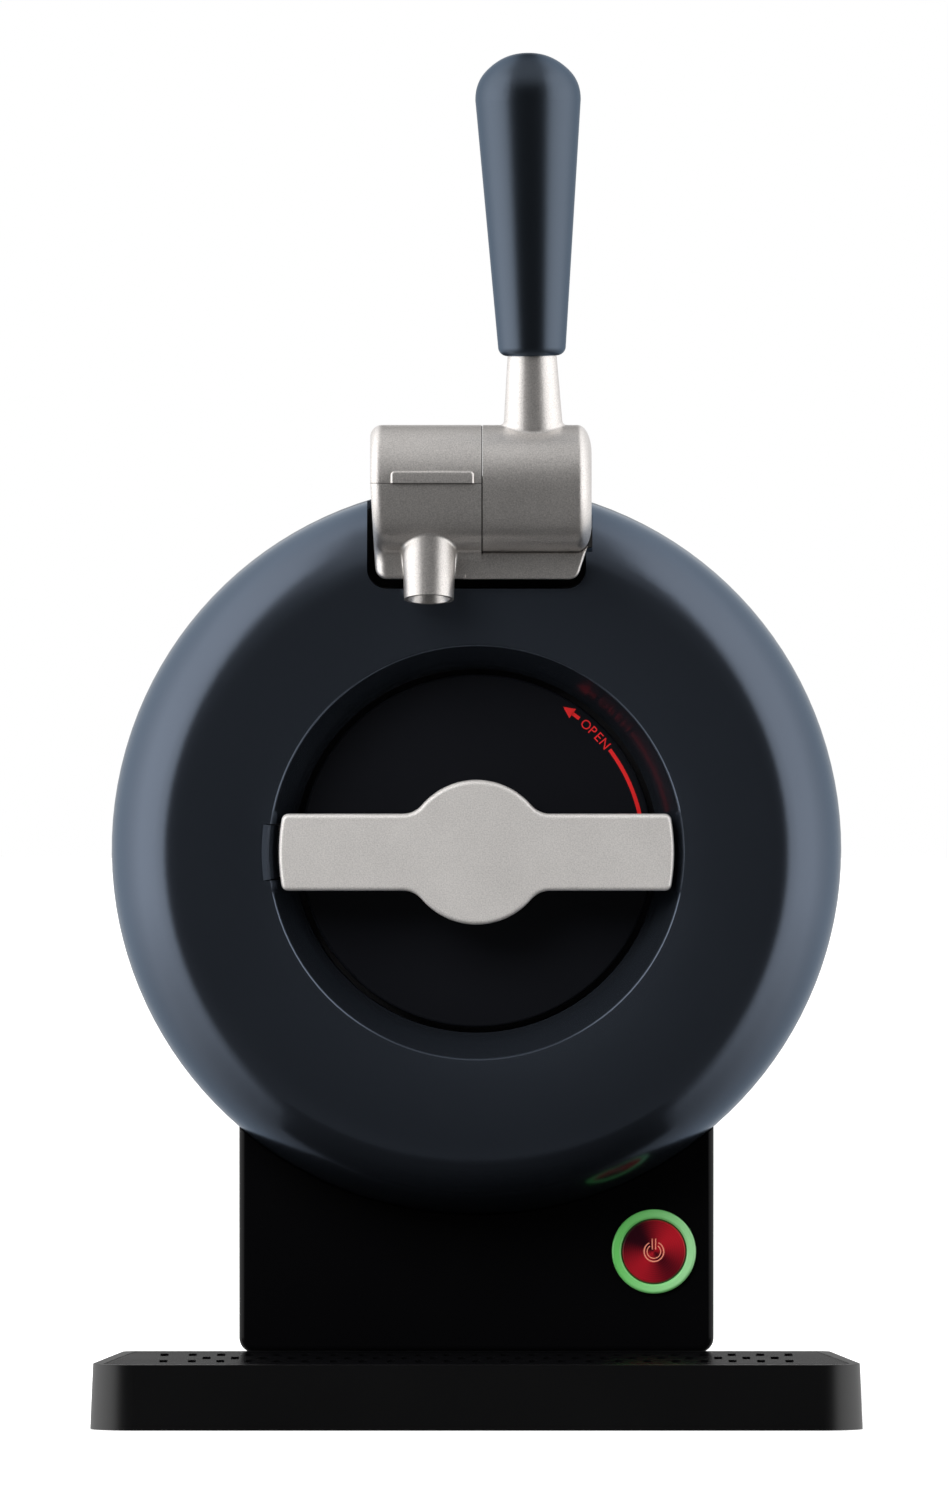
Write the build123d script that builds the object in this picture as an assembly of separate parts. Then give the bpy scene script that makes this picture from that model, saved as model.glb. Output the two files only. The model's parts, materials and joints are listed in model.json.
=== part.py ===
"""Countertop beer tap for a two-litre keg: a cooled drum on a pedestal, with a lever tap above
a round door and a drip tray in front.

Millimetres. The front faces -Y, +X is to the right seen from the front, +Z is up and z = 0 is
the table. The origin is under the middle of the whole part."""
import math
import os

from build123d import *

# ---------------------------------------------------------------- fits
GAP = 0.3            # between pieces that pass each other or sit side by side
FIT = 0.05           # radial clearance of a shaft in its bore
WALL = 2.6           # moulded housing wall
PLATE = 2.7          # inner bulkheads

# ---------------------------------------------------------------- drum
DRUM_R = 118.6
DRUM_LIFT = 65.7     # underside of the drum above the table
AXIS_Z = DRUM_R + DRUM_LIFT   # height of the axis that drum, door and chamber share
FACE_Y = -140.0      # front plane of the drum
CREST_R = 95.0       # where the ring-shaped face stands proudest
ROUND_Y = 36.0       # how deep the rounded edge is
LIP_DROP = 4.6       # how far the face falls away from the crest to the recess
SHELL_Y = -86.0      # rear edge of the front shell
SHELL_EDGE = 0.8     # rounding of that edge
REAR_Y = 220.0       # rear plane of the drum
TAPER_Y = -20.0      # where the rear shell starts to close in
TAPER_R = 850.0      # radius of that long curve
REAR_LIP = 4.0       # chamfer into the rear plane
GRILLE_R = DRUM_R - 46.6      # opening in the rear plane
GRILLE_T = 3.6
VENT_H, VENT_PITCH = 4.0, 9.0
REAR_SHELL_DROP = 1.6         # how far the rear shell stands back from the front one

# ---------------------------------------------------------------- door and its recess
LINER_R = 54.5       # bore of the chamber behind the door
DISC_R = LINER_R + 2.9
THROAT_R = DISC_R + 1.8       # end of the cone
THROAT_Y = -117.0
LIP_R = THROAT_R + 7.9        # mouth of the recess, at the front plane
LIP_EDGE = 1.1       # rounding of the mouth
DISC_T = 6.0
DISC_Y = -118.0
FLANGE_T = 2.7       # flange of the plug, behind the disc
SEAL_T = 2.6
SEAL_IN, SEAL_OUT = LINER_R - 2.1, LINER_R + 2.1
PLUG_R = LINER_R - 2.5
PLUG_Y = -97.0
FOAM_R = DRUM_R - 36.6         # outside of the foam round the chamber
POST_R, POST_AT, POSTS = 3.5, FOAM_R + 8.0, 4
FRAME_R = DRUM_R - 23.6       # door frame
FRAME_Y0, FRAME_Y1 = -116.7, -106.3
HINGE_X, HINGE_Y = -DISC_R - 24.6, -130.0
KNUCKLE_R = 4.5
HINGE_PIN_R = 2.0
ARM_HALF = 8.7       # half height of the hinge arm
EAR_T = 3.0
ARM_X0, ARM_X1 = -6.2, -2.6     # neck of the arm, from the hinge axis
ARM_Y0, ARM_Y1 = 18.3, 20.8     # foot of the arm, from the hinge axis
ARM_REACH = 13.4 - DISC_R
POCKET_CLEAR = 0.5

# ---------------------------------------------------------------- door handle
BAR_HALF = 12.4
BAR_R = LIP_R - 3.0
HUB_R = 23.4
BAR_T = 8.4
BAR_Y = -139.0
HUB_BLEND = 8.0
BAR_EDGE = 1.4
NECK_R = 17.0
SHAFT_R = 6.0
LATCH_T = 3.0
LATCH_R = PLUG_R - 2.0
LATCH_HALF = 7.0

# ---------------------------------------------------------------- chamber and cooler
LINER_T = 1.5
LINER_Y1 = 150.0
LINER_FLANGE_R = LINER_R + 15.5
KEEPER_IN = 1.3
KEEPER_HALF = 6.0
BLOCK_R, BLOCK_T = 30.0, 8.0
CHIP, CHIP_T = 40.0, 4.0
SINK, SINK_BASE, FIN_H, FIN_T, FINS = 90.0, 6.0, 20.0, 1.6, 15
FAN, FAN_T, FAN_BORE = 92.0, 15.0, 43.0
FAN_BLADES, BLADE_T, BLADE_TILT = 7, 1.6, 38.0
FAN_HUB_R, FAN_BOSS_R, FAN_SHAFT_R = 17.0, 14.0, 1.5
NOZZLE_Y, NOZZLE_R, NOZZLE_BORE = 130.0, 3.0, 1.6

# ---------------------------------------------------------------- tap
TAP_Y, TAP_Z, TAP_R = -141.0, AXIS_Z + DRUM_R - 0.5, 20.65
TAP_X0, TAP_SPLIT, TAP_X1 = -34.4, 1.8, 37.3
SPLIT_Z = TAP_Z + 2.1
SPLIT_GAP = 0.2
END_ROUND = 3.8      # rounding of the fixed barrel's left end
DRUM_END_X, DRUM_END_R = 4.5, 9.0     # rounding of the lever drum's right end
TAP_BOTTOM = TAP_Z - 29.3
BASE_FRONT = -145.0  # flat front of the foot under the barrel
BASE_BLEND = 5.0
BASE_LEAN = 1.8      # how far the left end leans in on its way down
LEDGE_X0, LEDGE_X1 = 32.6, 35.4       # right end of the foot, at its bottom and under the drum
LEDGE_EDGE = 0.6
LOW_ROUND = 3.6
FOOT_ROUND = 2.0     # of the foot's long lower edges
TAP_BACK = -100.5
WEB_T, WEB_R = 4.4, 16.5
AXLE_R = 4.0
LID_T = 2.9
TAB_X0, TAB_X1, TAB_H, TAB_PROUD = -27.9, -0.7, 4.1, 1.2     # finger pull of the lid
TAB_EDGE = 1.0
LID_PIN_Y, LID_PIN_Z, LID_PIN_R, LID_KNUCKLE_R = -116.6, TAP_Z + 3.2, 1.5, 3.4
SPOUT_X, SPOUT_Y, SPOUT_Z = -15.4, -146.8, TAP_Z - 13.7
SPOUT_TILT = 13.0
SPOUT_LEN = 22.5
SPOUT_R = 8.05       # at the mouth
SPOUT_GROW = 0.036   # radius gained per millimetre up the spout
SPOUT_COLLAR = 1.2   # blend where the spout leaves the barrel
BORE_R = 4.0
MOUTH_R, MOUTH_D = 6.9, 7.0
CRANK_R, CRANK_PIN_R, LEVER_SWING = 9.0, 2.0, 50.0
CRANK_END = -12.6
CRANK_PLAY = 0.2
JAW_X0, JAW_X1 = -21.0, -3.4
JAW_Y0, JAW_Y1 = -148.6, -139.0
JAW_Z0, JAW_Z1 = TAP_Z - 12.8, TAP_Z - 3.0
NOSE_X0, NOSE_X1, NOSE_Y0 = -19.0, -12.0, -149.6
JAW_TRAVEL = 2 * CRANK_R * math.sin(math.radians(LEVER_SWING / 2))
STEM_X = 18.7
STEM_LEAN = 0.9      # how far stem and grip lean to the left, in degrees
STEM_R0, STEM_R1, STEM_TOP = 10.0, 7.95, 43.1     # heights from here on are above the axle
STEM_BLEND = 1.5
SPIGOT_R, SPIGOT_L = 5.0, 30.0
GRIP_BOTTOM_R, GRIP_FOOT, GRIP_SHOULDER_R = 11.0, 3.0, 17.1
GRIP_SHOULDER, GRIP_TOP = 126.1, 141.3
NOTCH_CUT_X, NOTCH_CUT_Z, NOTCH_CUT_R = 35.5, TAP_Z - 32.5, 6.5
TAP_SCREWS_X, TAP_SCREW_Z, TAP_SCREW_R = (-20.0, 20.0), TAP_Z - 16.4, 1.9
WELL_T, WELL_BACK = 1.8, -98.4

# ---------------------------------------------------------------- pedestal
PED_X = 77.15
PED_Y0, PED_Y1 = -106.0, 150.0
PED_Z = 20.5
PED_FOOT_R, PED_EDGE_R = 5.0, 2.5
PED_WALL = 3.0
FOOT_X, FOOT_Z = 68.0, 2.0
COVER_T = 2.5
FOOT_PAD_R, FOOT_PAD_T = 8.0, 3.0
BUTTON_X, BUTTON_Z = 57.7, 53.6
RING_R, CAP_R, RING_PROUD, CAP_PROUD = 13.7, 10.35, 1.6, 1.1
CAP_T, CAP_TRAVEL, CAP_STEM_R = 4.0, 1.5, 3.0
HOUSING_R, HOUSING_Y1 = 15.5, -84.0
SPRING_R, SPRING_WIRE, SPRING_TURNS = 4.6, 0.45, 5

# ---------------------------------------------------------------- drip tray
TRAY_FRONT, TRAY_BACK = -220.0, -106.6
TRAY_W0, TRAY_W1 = 126.1, 115.6
TRAY_H, TRAY_WALL, TRAY_FLOOR = 21.3, 2.6, 3.0
TRAY_CORNER, TRAY_BACK_CORNER, TRAY_DRAFT = 14.0, 5.0, 1.0
GRID_T, GRID_IN, LEDGE_IN, LEDGE_H = 2.6, 5.0, 8.0, 5.0
SLOT_W, SLOT_L, SLOT_PITCH = 2.6, 20.0, 9.2
TRAY_LIFT = 0.2


# ---------------------------------------------------------------- helpers
def box(x0, x1, y0, y1, z0, z1):
    """Block between two opposite corners."""
    return Pos((x0 + x1) / 2, (y0 + y1) / 2, (z0 + z1) / 2) * Box(x1 - x0, y1 - y0, z1 - z0)


def rod_x(r, x0, x1, y=0.0, z=0.0):
    return Pos((x0 + x1) / 2, y, z) * Rot(0, 90, 0) * Cylinder(r, x1 - x0)


def rod_y(r, y0, y1, x=0.0, z=0.0):
    return Pos(x, (y0 + y1) / 2, z) * Rot(90, 0, 0) * Cylinder(r, y1 - y0)


def rod_z(r, z0, z1, x=0.0, y=0.0):
    return Pos(x, y, (z0 + z1) / 2) * Cylinder(r, z1 - z0)


def ring_y(r_in, r_out, y0, y1, z=0.0):
    return rod_y(r_out, y0, y1, z=z) - rod_y(r_in, y0 - 1, y1 + 1, z=z)


def cone_y(r0, r1, y0, y1, z=0.0):
    """Solid cone along Y, from radius r0 at y0 to radius r1 at y1."""
    return Pos(0, (y0 + y1) / 2, z) * Rot(-90, 0, 0) * Cone(r0, r1, y1 - y0)


def turned(*edges, z=AXIS_Z):
    """Solid of revolution about an axis along Y; edges give radius as x and place as y."""
    profile = make_face(Curve() + list(edges))
    return Pos(0, 0, z) * revolve(profile, Axis.Y, 360)


def write(name, *solids):
    """One STEP file for a node; several solids make one group."""
    flat = [s for shape in solids for s in shape.solids()]
    shape = flat[0] if len(flat) == 1 else Compound(children=flat)
    export_step(shape, f"parts/{name}.step")


# ---------------------------------------------------------------- drum shells
def dome(inset):
    """Volume of the drum's front, moved in by inset all round.

    Its face is a ring that stands proudest at the crest and falls away on both sides."""
    r_out = DRUM_R - inset
    drop = CREST_R - LIP_R
    bow = (drop**2 + LIP_DROP**2) / (2 * LIP_DROP)
    r_bow = bow - inset
    y_mid = FACE_Y + bow
    y_lip = y_mid - math.sqrt(r_bow**2 - drop**2)
    half = math.asin(drop / r_bow) / 2
    mid = (CREST_R - r_bow * math.sin(half), y_mid - r_bow * math.cos(half))
    y_round = FACE_Y + ROUND_Y
    return turned(
        Line((0, y_lip), (LIP_R, y_lip)),
        ThreePointArc((LIP_R, y_lip), mid, (CREST_R, FACE_Y + inset)),
        EllipticalCenterArc((CREST_R, y_round), r_out - CREST_R, ROUND_Y - inset, -90),
        Line((r_out, y_round), (r_out, SHELL_Y)),
        Line((r_out, SHELL_Y), (0, SHELL_Y)),
        Line((0, SHELL_Y), (0, y_lip)),
    )


def tap_notch(side, floor, back, corner):
    """Space cut into the drum's top for the tap."""
    height = AXIS_Z + DRUM_R + 20 - floor
    depth = back - (FACE_Y - 10)
    block = Pos(0, (back + FACE_Y - 10) / 2, floor + height / 2) * Box(2 * side, depth, height)
    low = block.edges().filter_by(Axis.Y).sort_by(Axis.Z)[:2]
    return fillet(low, corner)


def recess_cone(grow):
    """Solid inside the recess round the door, grown by grow."""
    return cone_y(LIP_R + grow, THROAT_R + grow, FACE_Y + LIP_DROP, THROAT_Y, z=AXIS_Z)


def arm_slot():
    """Way through the recess wall for the hinge arm, hidden behind the end of the bar."""
    half = ARM_HALF + POCKET_CLEAR
    front = FACE_Y + LIP_DROP - 0.8
    return box(-LIP_R - 3, -THROAT_R + 5, front, THROAT_Y + 1, AXIS_Z - half, AXIS_Z + half)


def drum_room():
    """Space that the lever's drum turns in where it stands wider than the notch."""
    return rod_x(TAP_R + GAP, 0, TAP_X1 + GAP, TAP_Y, TAP_Z)


def front_shell():
    skin = dome(0) - dome(WALL)
    skin += recess_cone(WALL)
    skin -= recess_cone(0)
    mouth = skin.edges().filter_by(GeomType.CIRCLE).sort_by(Axis.Y)
    mouth = [e for e in mouth if abs(e.radius - LIP_R) < 0.01][:1]
    skin = fillet(mouth, LIP_EDGE)
    rim = skin.edges().filter_by(GeomType.CIRCLE).sort_by(Axis.Y)
    skin = fillet([e for e in rim if abs(e.radius - DRUM_R) < 0.01][-1:], SHELL_EDGE)
    skin -= tap_notch(NOTCH_CUT_X, NOTCH_CUT_Z, WELL_BACK, NOTCH_CUT_R)
    return skin - drum_room() - arm_slot()


def tap_well():
    """Black pocket that lines the notch behind the tap."""
    side = NOTCH_CUT_X + GAP
    floor = NOTCH_CUT_Z - GAP
    outer = tap_notch(side + WELL_T, floor - WELL_T, WELL_BACK - GAP, NOTCH_CUT_R + WELL_T)
    inner = tap_notch(side, floor, WELL_BACK - GAP - WELL_T, NOTCH_CUT_R)
    well = ((outer - inner) & dome(WALL + GAP)) - drum_room()
    for x in TAP_SCREWS_X:
        well -= rod_y(TAP_SCREW_R + FIT, WELL_BACK - 5, WELL_BACK + 5, x=x, z=TAP_SCREW_Z)
    return well


def rear_radius(y, inset):
    """Radius of the rear shell's long curve at a place along the drum."""
    run = y - TAPER_Y
    return DRUM_R - REAR_SHELL_DROP - inset - TAPER_R + math.sqrt(TAPER_R**2 - run**2)


def rear_volume(inset, y_end):
    r0 = DRUM_R - REAR_SHELL_DROP - inset
    y0 = SHELL_Y + GAP
    r1 = rear_radius(y_end - REAR_LIP, inset)
    return turned(
        Line((0, y0), (r0, y0)),
        Line((r0, y0), (r0, TAPER_Y)),
        ThreePointArc((r0, TAPER_Y), (rear_radius((TAPER_Y + y_end - REAR_LIP) / 2, inset),
                                      (TAPER_Y + y_end - REAR_LIP) / 2), (r1, y_end - REAR_LIP)),
        Line((r1, y_end - REAR_LIP), (r1 - REAR_LIP, y_end)),
        Line((r1 - REAR_LIP, y_end), (0, y_end)),
        Line((0, y_end), (0, y0)),
    )


def drum_outside(grow, y_end):
    """Solid that holds the whole drum as far back as y_end, larger by grow all round."""
    mid = (TAPER_Y + y_end) / 2
    step = SHELL_Y + GAP
    r0, r1 = rear_radius(TAPER_Y, -grow), rear_radius(y_end, -grow)
    rear = turned(
        Line((0, step), (r0, step)),
        Line((r0, step), (r0, TAPER_Y)),
        ThreePointArc((r0, TAPER_Y), (rear_radius(mid, -grow), mid), (r1, y_end)),
        Line((r1, y_end), (0, y_end)),
        Line((0, y_end), (0, step)),
    )
    return rear + rod_y(DRUM_R + grow, FACE_Y - 20, step, z=AXIS_Z)


def lead_hole():
    """Opening in the drum's underside for the hose and the leads."""
    return box(-34, 34, NOZZLE_Y - 12, NOZZLE_Y + 14, 40, AXIS_Z - 60)


def rear_shell():
    skin = rear_volume(0, REAR_Y) - rear_volume(WALL, REAR_Y - WALL)
    skin -= rod_y(DRUM_R - REAR_SHELL_DROP - WALL, SHELL_Y - 5, SHELL_Y + 10, z=AXIS_Z)
    skin -= rod_y(GRILLE_R, REAR_Y - 20, REAR_Y + 5, z=AXIS_Z)
    return skin - lead_hole()


def rear_grille():
    y1 = REAR_Y - WALL - GAP
    plate = rod_y(GRILLE_R + 4, y1 - GRILLE_T, y1, z=AXIS_Z)
    rows = int((GRILLE_R - 8) // VENT_PITCH)
    for row in range(-rows, rows + 1):
        z = AXIS_Z + row * VENT_PITCH
        half = math.sqrt((GRILLE_R - 5) ** 2 - (row * VENT_PITCH) ** 2)
        for side in (-1, 1):
            mid = side * (half + 4) / 2
            slot = Pos(mid, y1 - GRILLE_T / 2, z) * Box(half - 4, GRILLE_T + 2, VENT_H)
            plate -= slot
    return plate


# ---------------------------------------------------------------- door
def hinge_ears():
    ears = []
    inner = ARM_HALF + GAP
    for sign in (-1, 1):
        z0, z1 = sorted((AXIS_Z + sign * inner, AXIS_Z + sign * (inner + EAR_T)))
        ear = rod_z(KNUCKLE_R, z0, z1, x=HINGE_X, y=HINGE_Y)
        ear += box(HINGE_X - KNUCKLE_R, HINGE_X + KNUCKLE_R, HINGE_Y, FRAME_Y0 + 1, z0, z1)
        ears.append(ear - rod_z(HINGE_PIN_R, z0 - 1, z1 + 1, x=HINGE_X, y=HINGE_Y))
    return ears


def post_places():
    for i in range(POSTS):
        a = math.radians(45 + 360 / POSTS * i)
        yield POST_AT * math.cos(a), POST_AT * math.sin(a)


def door_frame():
    """Ring that carries the hinge and stands on four legs in front of the bulkhead."""
    frame = ring_y(THROAT_R, FRAME_R, FRAME_Y0, FRAME_Y1, z=AXIS_Z)
    half = ARM_HALF + POCKET_CLEAR
    floor = HINGE_Y + ARM_Y1 + 1.6
    frame -= box(HINGE_X - 8, -THROAT_R + 5, FRAME_Y0 - 1, floor, AXIS_Z - half, AXIS_Z + half)
    for ear in hinge_ears():
        frame += ear
    top = NOTCH_CUT_Z - WELL_T - 3 * GAP
    frame -= box(-NOTCH_CUT_X - 8, NOTCH_CUT_X + 8, FRAME_Y0 - 1, FRAME_Y1 + 1, top, top + 50)
    for x, z in post_places():
        frame += rod_y(POST_R, FRAME_Y1, BULKHEAD_Y, x=x, z=AXIS_Z + z)
        frame -= rod_y(FRAME_SCREW_R, BULKHEAD_Y - 10, BULKHEAD_Y + 1, x=x, z=AXIS_Z + z)
    return frame


BULKHEAD_Y = SHELL_Y + GAP + 1.7
FRAME_SCREW_R = 1.6


def front_bulkhead():
    """Ring in the mouth of the rear shell that carries the door frame and the front shell."""
    r = DRUM_R - REAR_SHELL_DROP - WALL - GAP
    plate = rod_y(r, BULKHEAD_Y, BULKHEAD_Y + PLATE, z=AXIS_Z)
    plate -= rod_y(FOAM_R + GAP, BULKHEAD_Y - 1, BULKHEAD_Y + PLATE + 1, z=AXIS_Z)
    r_tab = DRUM_R - WALL - GAP
    collar = ring_y(r_tab - 4, r_tab, SHELL_Y - 8, SHELL_Y, z=AXIS_Z)
    collar += ring_y(r_tab - 4, r, SHELL_Y - 1, BULKHEAD_Y, z=AXIS_Z)
    plate += collar - tap_notch(NOTCH_CUT_X + 6, NOTCH_CUT_Z - 6, SHELL_Y + 1, NOTCH_CUT_R)
    for x, z in post_places():
        plate -= rod_y(FRAME_SCREW_R + FIT, BULKHEAD_Y - 1, BULKHEAD_Y + 5, x=x, z=AXIS_Z + z)
    return plate


def frame_screws():
    head = BULKHEAD_Y + PLATE
    for x, z in post_places():
        yield (rod_y(FRAME_SCREW_R - FIT, BULKHEAD_Y - 9, head, x=x, z=AXIS_Z + z)
               + rod_y(3.0, head, head + 2.2, x=x, z=AXIS_Z + z))


def door_disc():
    disc = rod_y(DISC_R, DISC_Y, DISC_Y + DISC_T, z=AXIS_Z)
    rim = disc.edges().filter_by(GeomType.CIRCLE).sort_by(Axis.Y)[:1]
    disc = fillet(rim, 1.0)
    return disc - rod_y(SHAFT_R + FIT, DISC_Y - 1, DISC_Y + DISC_T + 1, z=AXIS_Z)


FLANGE_Y = DISC_Y + DISC_T + SPLIT_GAP
SEAL_Y = FLANGE_Y + FLANGE_T + SPLIT_GAP


def door_plug():
    plug = rod_y(SEAL_OUT + 0.4, FLANGE_Y, FLANGE_Y + FLANGE_T, z=AXIS_Z)
    body = rod_y(PLUG_R, FLANGE_Y + FLANGE_T - 1, PLUG_Y, z=AXIS_Z)
    plug += chamfer(body.edges().filter_by(GeomType.CIRCLE).sort_by(Axis.Y)[-1:], 1.5)
    plug -= rod_y(SHAFT_R + FIT, FLANGE_Y - 1, PLUG_Y + 1, z=AXIS_Z)
    half = ARM_HALF + SPLIT_GAP
    return plug - box(-DISC_R - 10, ARM_REACH + SPLIT_GAP, FLANGE_Y - 1, FLANGE_Y + FLANGE_T + SPLIT_GAP,
                      AXIS_Z - half, AXIS_Z + half)


def door_seal():
    return ring_y(SEAL_IN, SEAL_OUT, SEAL_Y, SEAL_Y + SEAL_T, z=AXIS_Z)


def hinge_arm():
    """Gooseneck from the hidden hinge pin to the back of the door disc."""
    z0, z1 = AXIS_Z - ARM_HALF, AXIS_Z + ARM_HALF
    arm = rod_z(KNUCKLE_R, z0, z1, x=HINGE_X, y=HINGE_Y)
    arm += box(HINGE_X + ARM_X0, HINGE_X + ARM_X1, HINGE_Y, HINGE_Y + ARM_Y1, z0, z1)
    arm += box(HINGE_X + ARM_X0, HINGE_X, HINGE_Y, HINGE_Y + KNUCKLE_R - 0.5, z0, z1)
    arm += box(HINGE_X + ARM_X0, ARM_REACH, HINGE_Y + ARM_Y0, HINGE_Y + ARM_Y1, z0, z1)
    return arm - rod_z(HINGE_PIN_R + FIT, z0 - 1, z1 + 1, x=HINGE_X, y=HINGE_Y)


def hinge_pin():
    reach = ARM_HALF + GAP + EAR_T
    return rod_z(HINGE_PIN_R - FIT / 2, AXIS_Z - reach, AXIS_Z + reach, x=HINGE_X, y=HINGE_Y)


def handle_bar():
    outline = (Circle(HUB_R) + Rectangle(2 * BAR_R + 4, 2 * BAR_HALF)) & Circle(BAR_R)
    waist = [v for v in outline.vertices() if abs(v.X) < HUB_R and abs(abs(v.Y) - BAR_HALF) < 0.1]
    outline = fillet(waist, HUB_BLEND)
    tips = [v for v in outline.vertices() if abs(v.X) > BAR_R - 4]
    outline = fillet(tips, 2.2)
    bar = extrude(Plane.XZ * outline, -BAR_T)
    front = bar.faces().sort_by(Axis.Y)[0]
    bar = fillet(front.edges(), BAR_EDGE)
    bar = Pos(0, BAR_Y, AXIS_Z) * bar
    return bar + rod_y(NECK_R, BAR_Y + BAR_T, DISC_Y - GAP, z=AXIS_Z)


def handle_shaft():
    shaft = rod_y(SHAFT_R, BAR_Y + BAR_T - 4, PLUG_Y + GAP + LATCH_T, z=AXIS_Z)
    return shaft


def latch_bar():
    y0 = PLUG_Y + GAP
    bar = (rod_y(LATCH_R, y0, y0 + LATCH_T, z=AXIS_Z)
           & box(-80, 80, y0, y0 + LATCH_T, AXIS_Z - LATCH_HALF, AXIS_Z + LATCH_HALF))
    bar += rod_y(SHAFT_R + 5, y0, y0 + LATCH_T, z=AXIS_Z)
    return bar - rod_y(SHAFT_R, y0 - 1, y0 + LATCH_T + 1, z=AXIS_Z)


# ---------------------------------------------------------------- chamber and cooler
LINER_Y0 = FRAME_Y1 + GAP


def chamber_liner():
    liner = ring_y(LINER_R, LINER_R + LINER_T, LINER_Y0, LINER_Y1, z=AXIS_Z)
    liner += ring_y(LINER_R, LINER_FLANGE_R, LINER_Y0, LINER_Y0 + LINER_T, z=AXIS_Z)
    liner += rod_y(LINER_R + LINER_T, LINER_Y1 - LINER_T, LINER_Y1, z=AXIS_Z)
    for sign in (-1, 1):
        x0, x1 = sorted((sign * (LINER_R - KEEPER_IN), sign * (LINER_R + 0.5)))
        liner += box(x0, x1, LINER_Y0 + 2, LINER_Y0 + 6, AXIS_Z - KEEPER_HALF, AXIS_Z + KEEPER_HALF)
    return liner - rod_z(NOZZLE_R + FIT, AXIS_Z - LINER_R - 10, AXIS_Z - LINER_R + 5, y=NOZZLE_Y)


def foam_half(upper):
    y0 = LINER_Y0 + LINER_T + SPLIT_GAP
    foam = ring_y(LINER_R + LINER_T + SPLIT_GAP, FOAM_R, y0, LINER_Y1 - GAP, z=AXIS_Z)
    if upper:
        return foam - box(-FOAM_R, FOAM_R, y0 - 5, LINER_Y1, AXIS_Z - FOAM_R, AXIS_Z + SPLIT_GAP)
    foam -= box(-FOAM_R, FOAM_R, y0 - 5, LINER_Y1, AXIS_Z - SPLIT_GAP, AXIS_Z + FOAM_R)
    return foam - rod_z(NOZZLE_R + SPLIT_GAP, AXIS_Z - FOAM_R - 5, AXIS_Z - 40, y=NOZZLE_Y)


REAR_PLATE_Y = LINER_Y1 + GAP


def rear_bulkhead():
    plate = rod_y(rear_radius(REAR_PLATE_Y + PLATE, WALL + GAP), REAR_PLATE_Y,
                  REAR_PLATE_Y + PLATE, z=AXIS_Z)
    plate -= rod_y(BLOCK_R + GAP, REAR_PLATE_Y - 1, REAR_PLATE_Y + 5, z=AXIS_Z)
    plate -= rod_y(LEAD_R + 2, REAR_PLATE_Y - 1, REAR_PLATE_Y + 5, x=LEAD_X, z=LEAD_HOLE_Z)
    for x, z in cooler_screw_places():
        plate -= rod_y(COOLER_SCREW_R, REAR_PLATE_Y - 1, REAR_PLATE_Y + 5, x=x, z=z)
    return plate


LEAD_X, LEAD_R = 25.0, 1.7
LEAD_HOLE_Z = AXIS_Z - math.sqrt(FOAM_R**2 - LEAD_X**2) - LEAD_R - 0.9
COOLER_SCREW_R = 1.8
BLOCK_Y1 = LINER_Y1 + BLOCK_T
SINK_Y0 = BLOCK_Y1 + CHIP_T
FIN_Y0 = SINK_Y0 + SINK_BASE
FAN_Y0 = FIN_Y0 + FIN_H + GAP


def cooler_screw_places():
    at = SINK / 2 - 6
    return [(sx * at, AXIS_Z + sz * at) for sx in (-1, 1) for sz in (-1, 1)]


def cold_block():
    return rod_y(BLOCK_R, LINER_Y1, BLOCK_Y1, z=AXIS_Z)


def cooling_chip():
    h = CHIP / 2
    return box(-h, h, BLOCK_Y1, SINK_Y0, AXIS_Z - h, AXIS_Z + h)


def heat_sink():
    h = SINK / 2
    sink = box(-h, h, SINK_Y0, FIN_Y0, AXIS_Z - h, AXIS_Z + h)
    for i in range(FINS):
        x = -h + FIN_T / 2 + i * (SINK - FIN_T) / (FINS - 1)
        sink += box(x - FIN_T / 2, x + FIN_T / 2, FIN_Y0 - 0.5, FIN_Y0 + FIN_H,
                    AXIS_Z - h, AXIS_Z + h)
    for x, z in cooler_screw_places():
        sink -= rod_y(COOLER_SCREW_R + FIT, SINK_Y0 - 1, FIN_Y0 + FIN_H + 1, x=x, z=z)
        sink -= rod_y(4.0, FIN_Y0, FIN_Y0 + FIN_H + 1, x=x, z=z)
    return sink


def cooler_screws():
    for x, z in cooler_screw_places():
        yield (rod_y(COOLER_SCREW_R - FIT, REAR_PLATE_Y, FIN_Y0, x=x, z=z)
               + rod_y(3.2, FIN_Y0, FIN_Y0 + 2.4, x=x, z=z))


def fan_frame():
    h = FAN / 2
    frame = box(-h, h, FAN_Y0, FAN_Y0 + FAN_T, AXIS_Z - h, AXIS_Z + h)
    frame = fillet(frame.edges().filter_by(Axis.Y), 5)
    frame -= rod_y(FAN_BORE, FAN_Y0 - 1, FAN_Y0 + FAN_T + 1, z=AXIS_Z)
    y1 = FAN_Y0 + FAN_T
    frame += rod_y(FAN_BOSS_R, y1 - 4, y1, z=AXIS_Z)
    for turn in (45, 135):
        spoke = box(-FAN_BORE - 1, FAN_BORE + 1, y1 - 3, y1, -2.5, 2.5)
        frame += Pos(0, 0, AXIS_Z) * Rot(0, turn, 0) * spoke
    return frame - rod_y(FAN_SHAFT_R + FIT, y1 - 4.5, y1 - 0.8, z=AXIS_Z)


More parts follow.
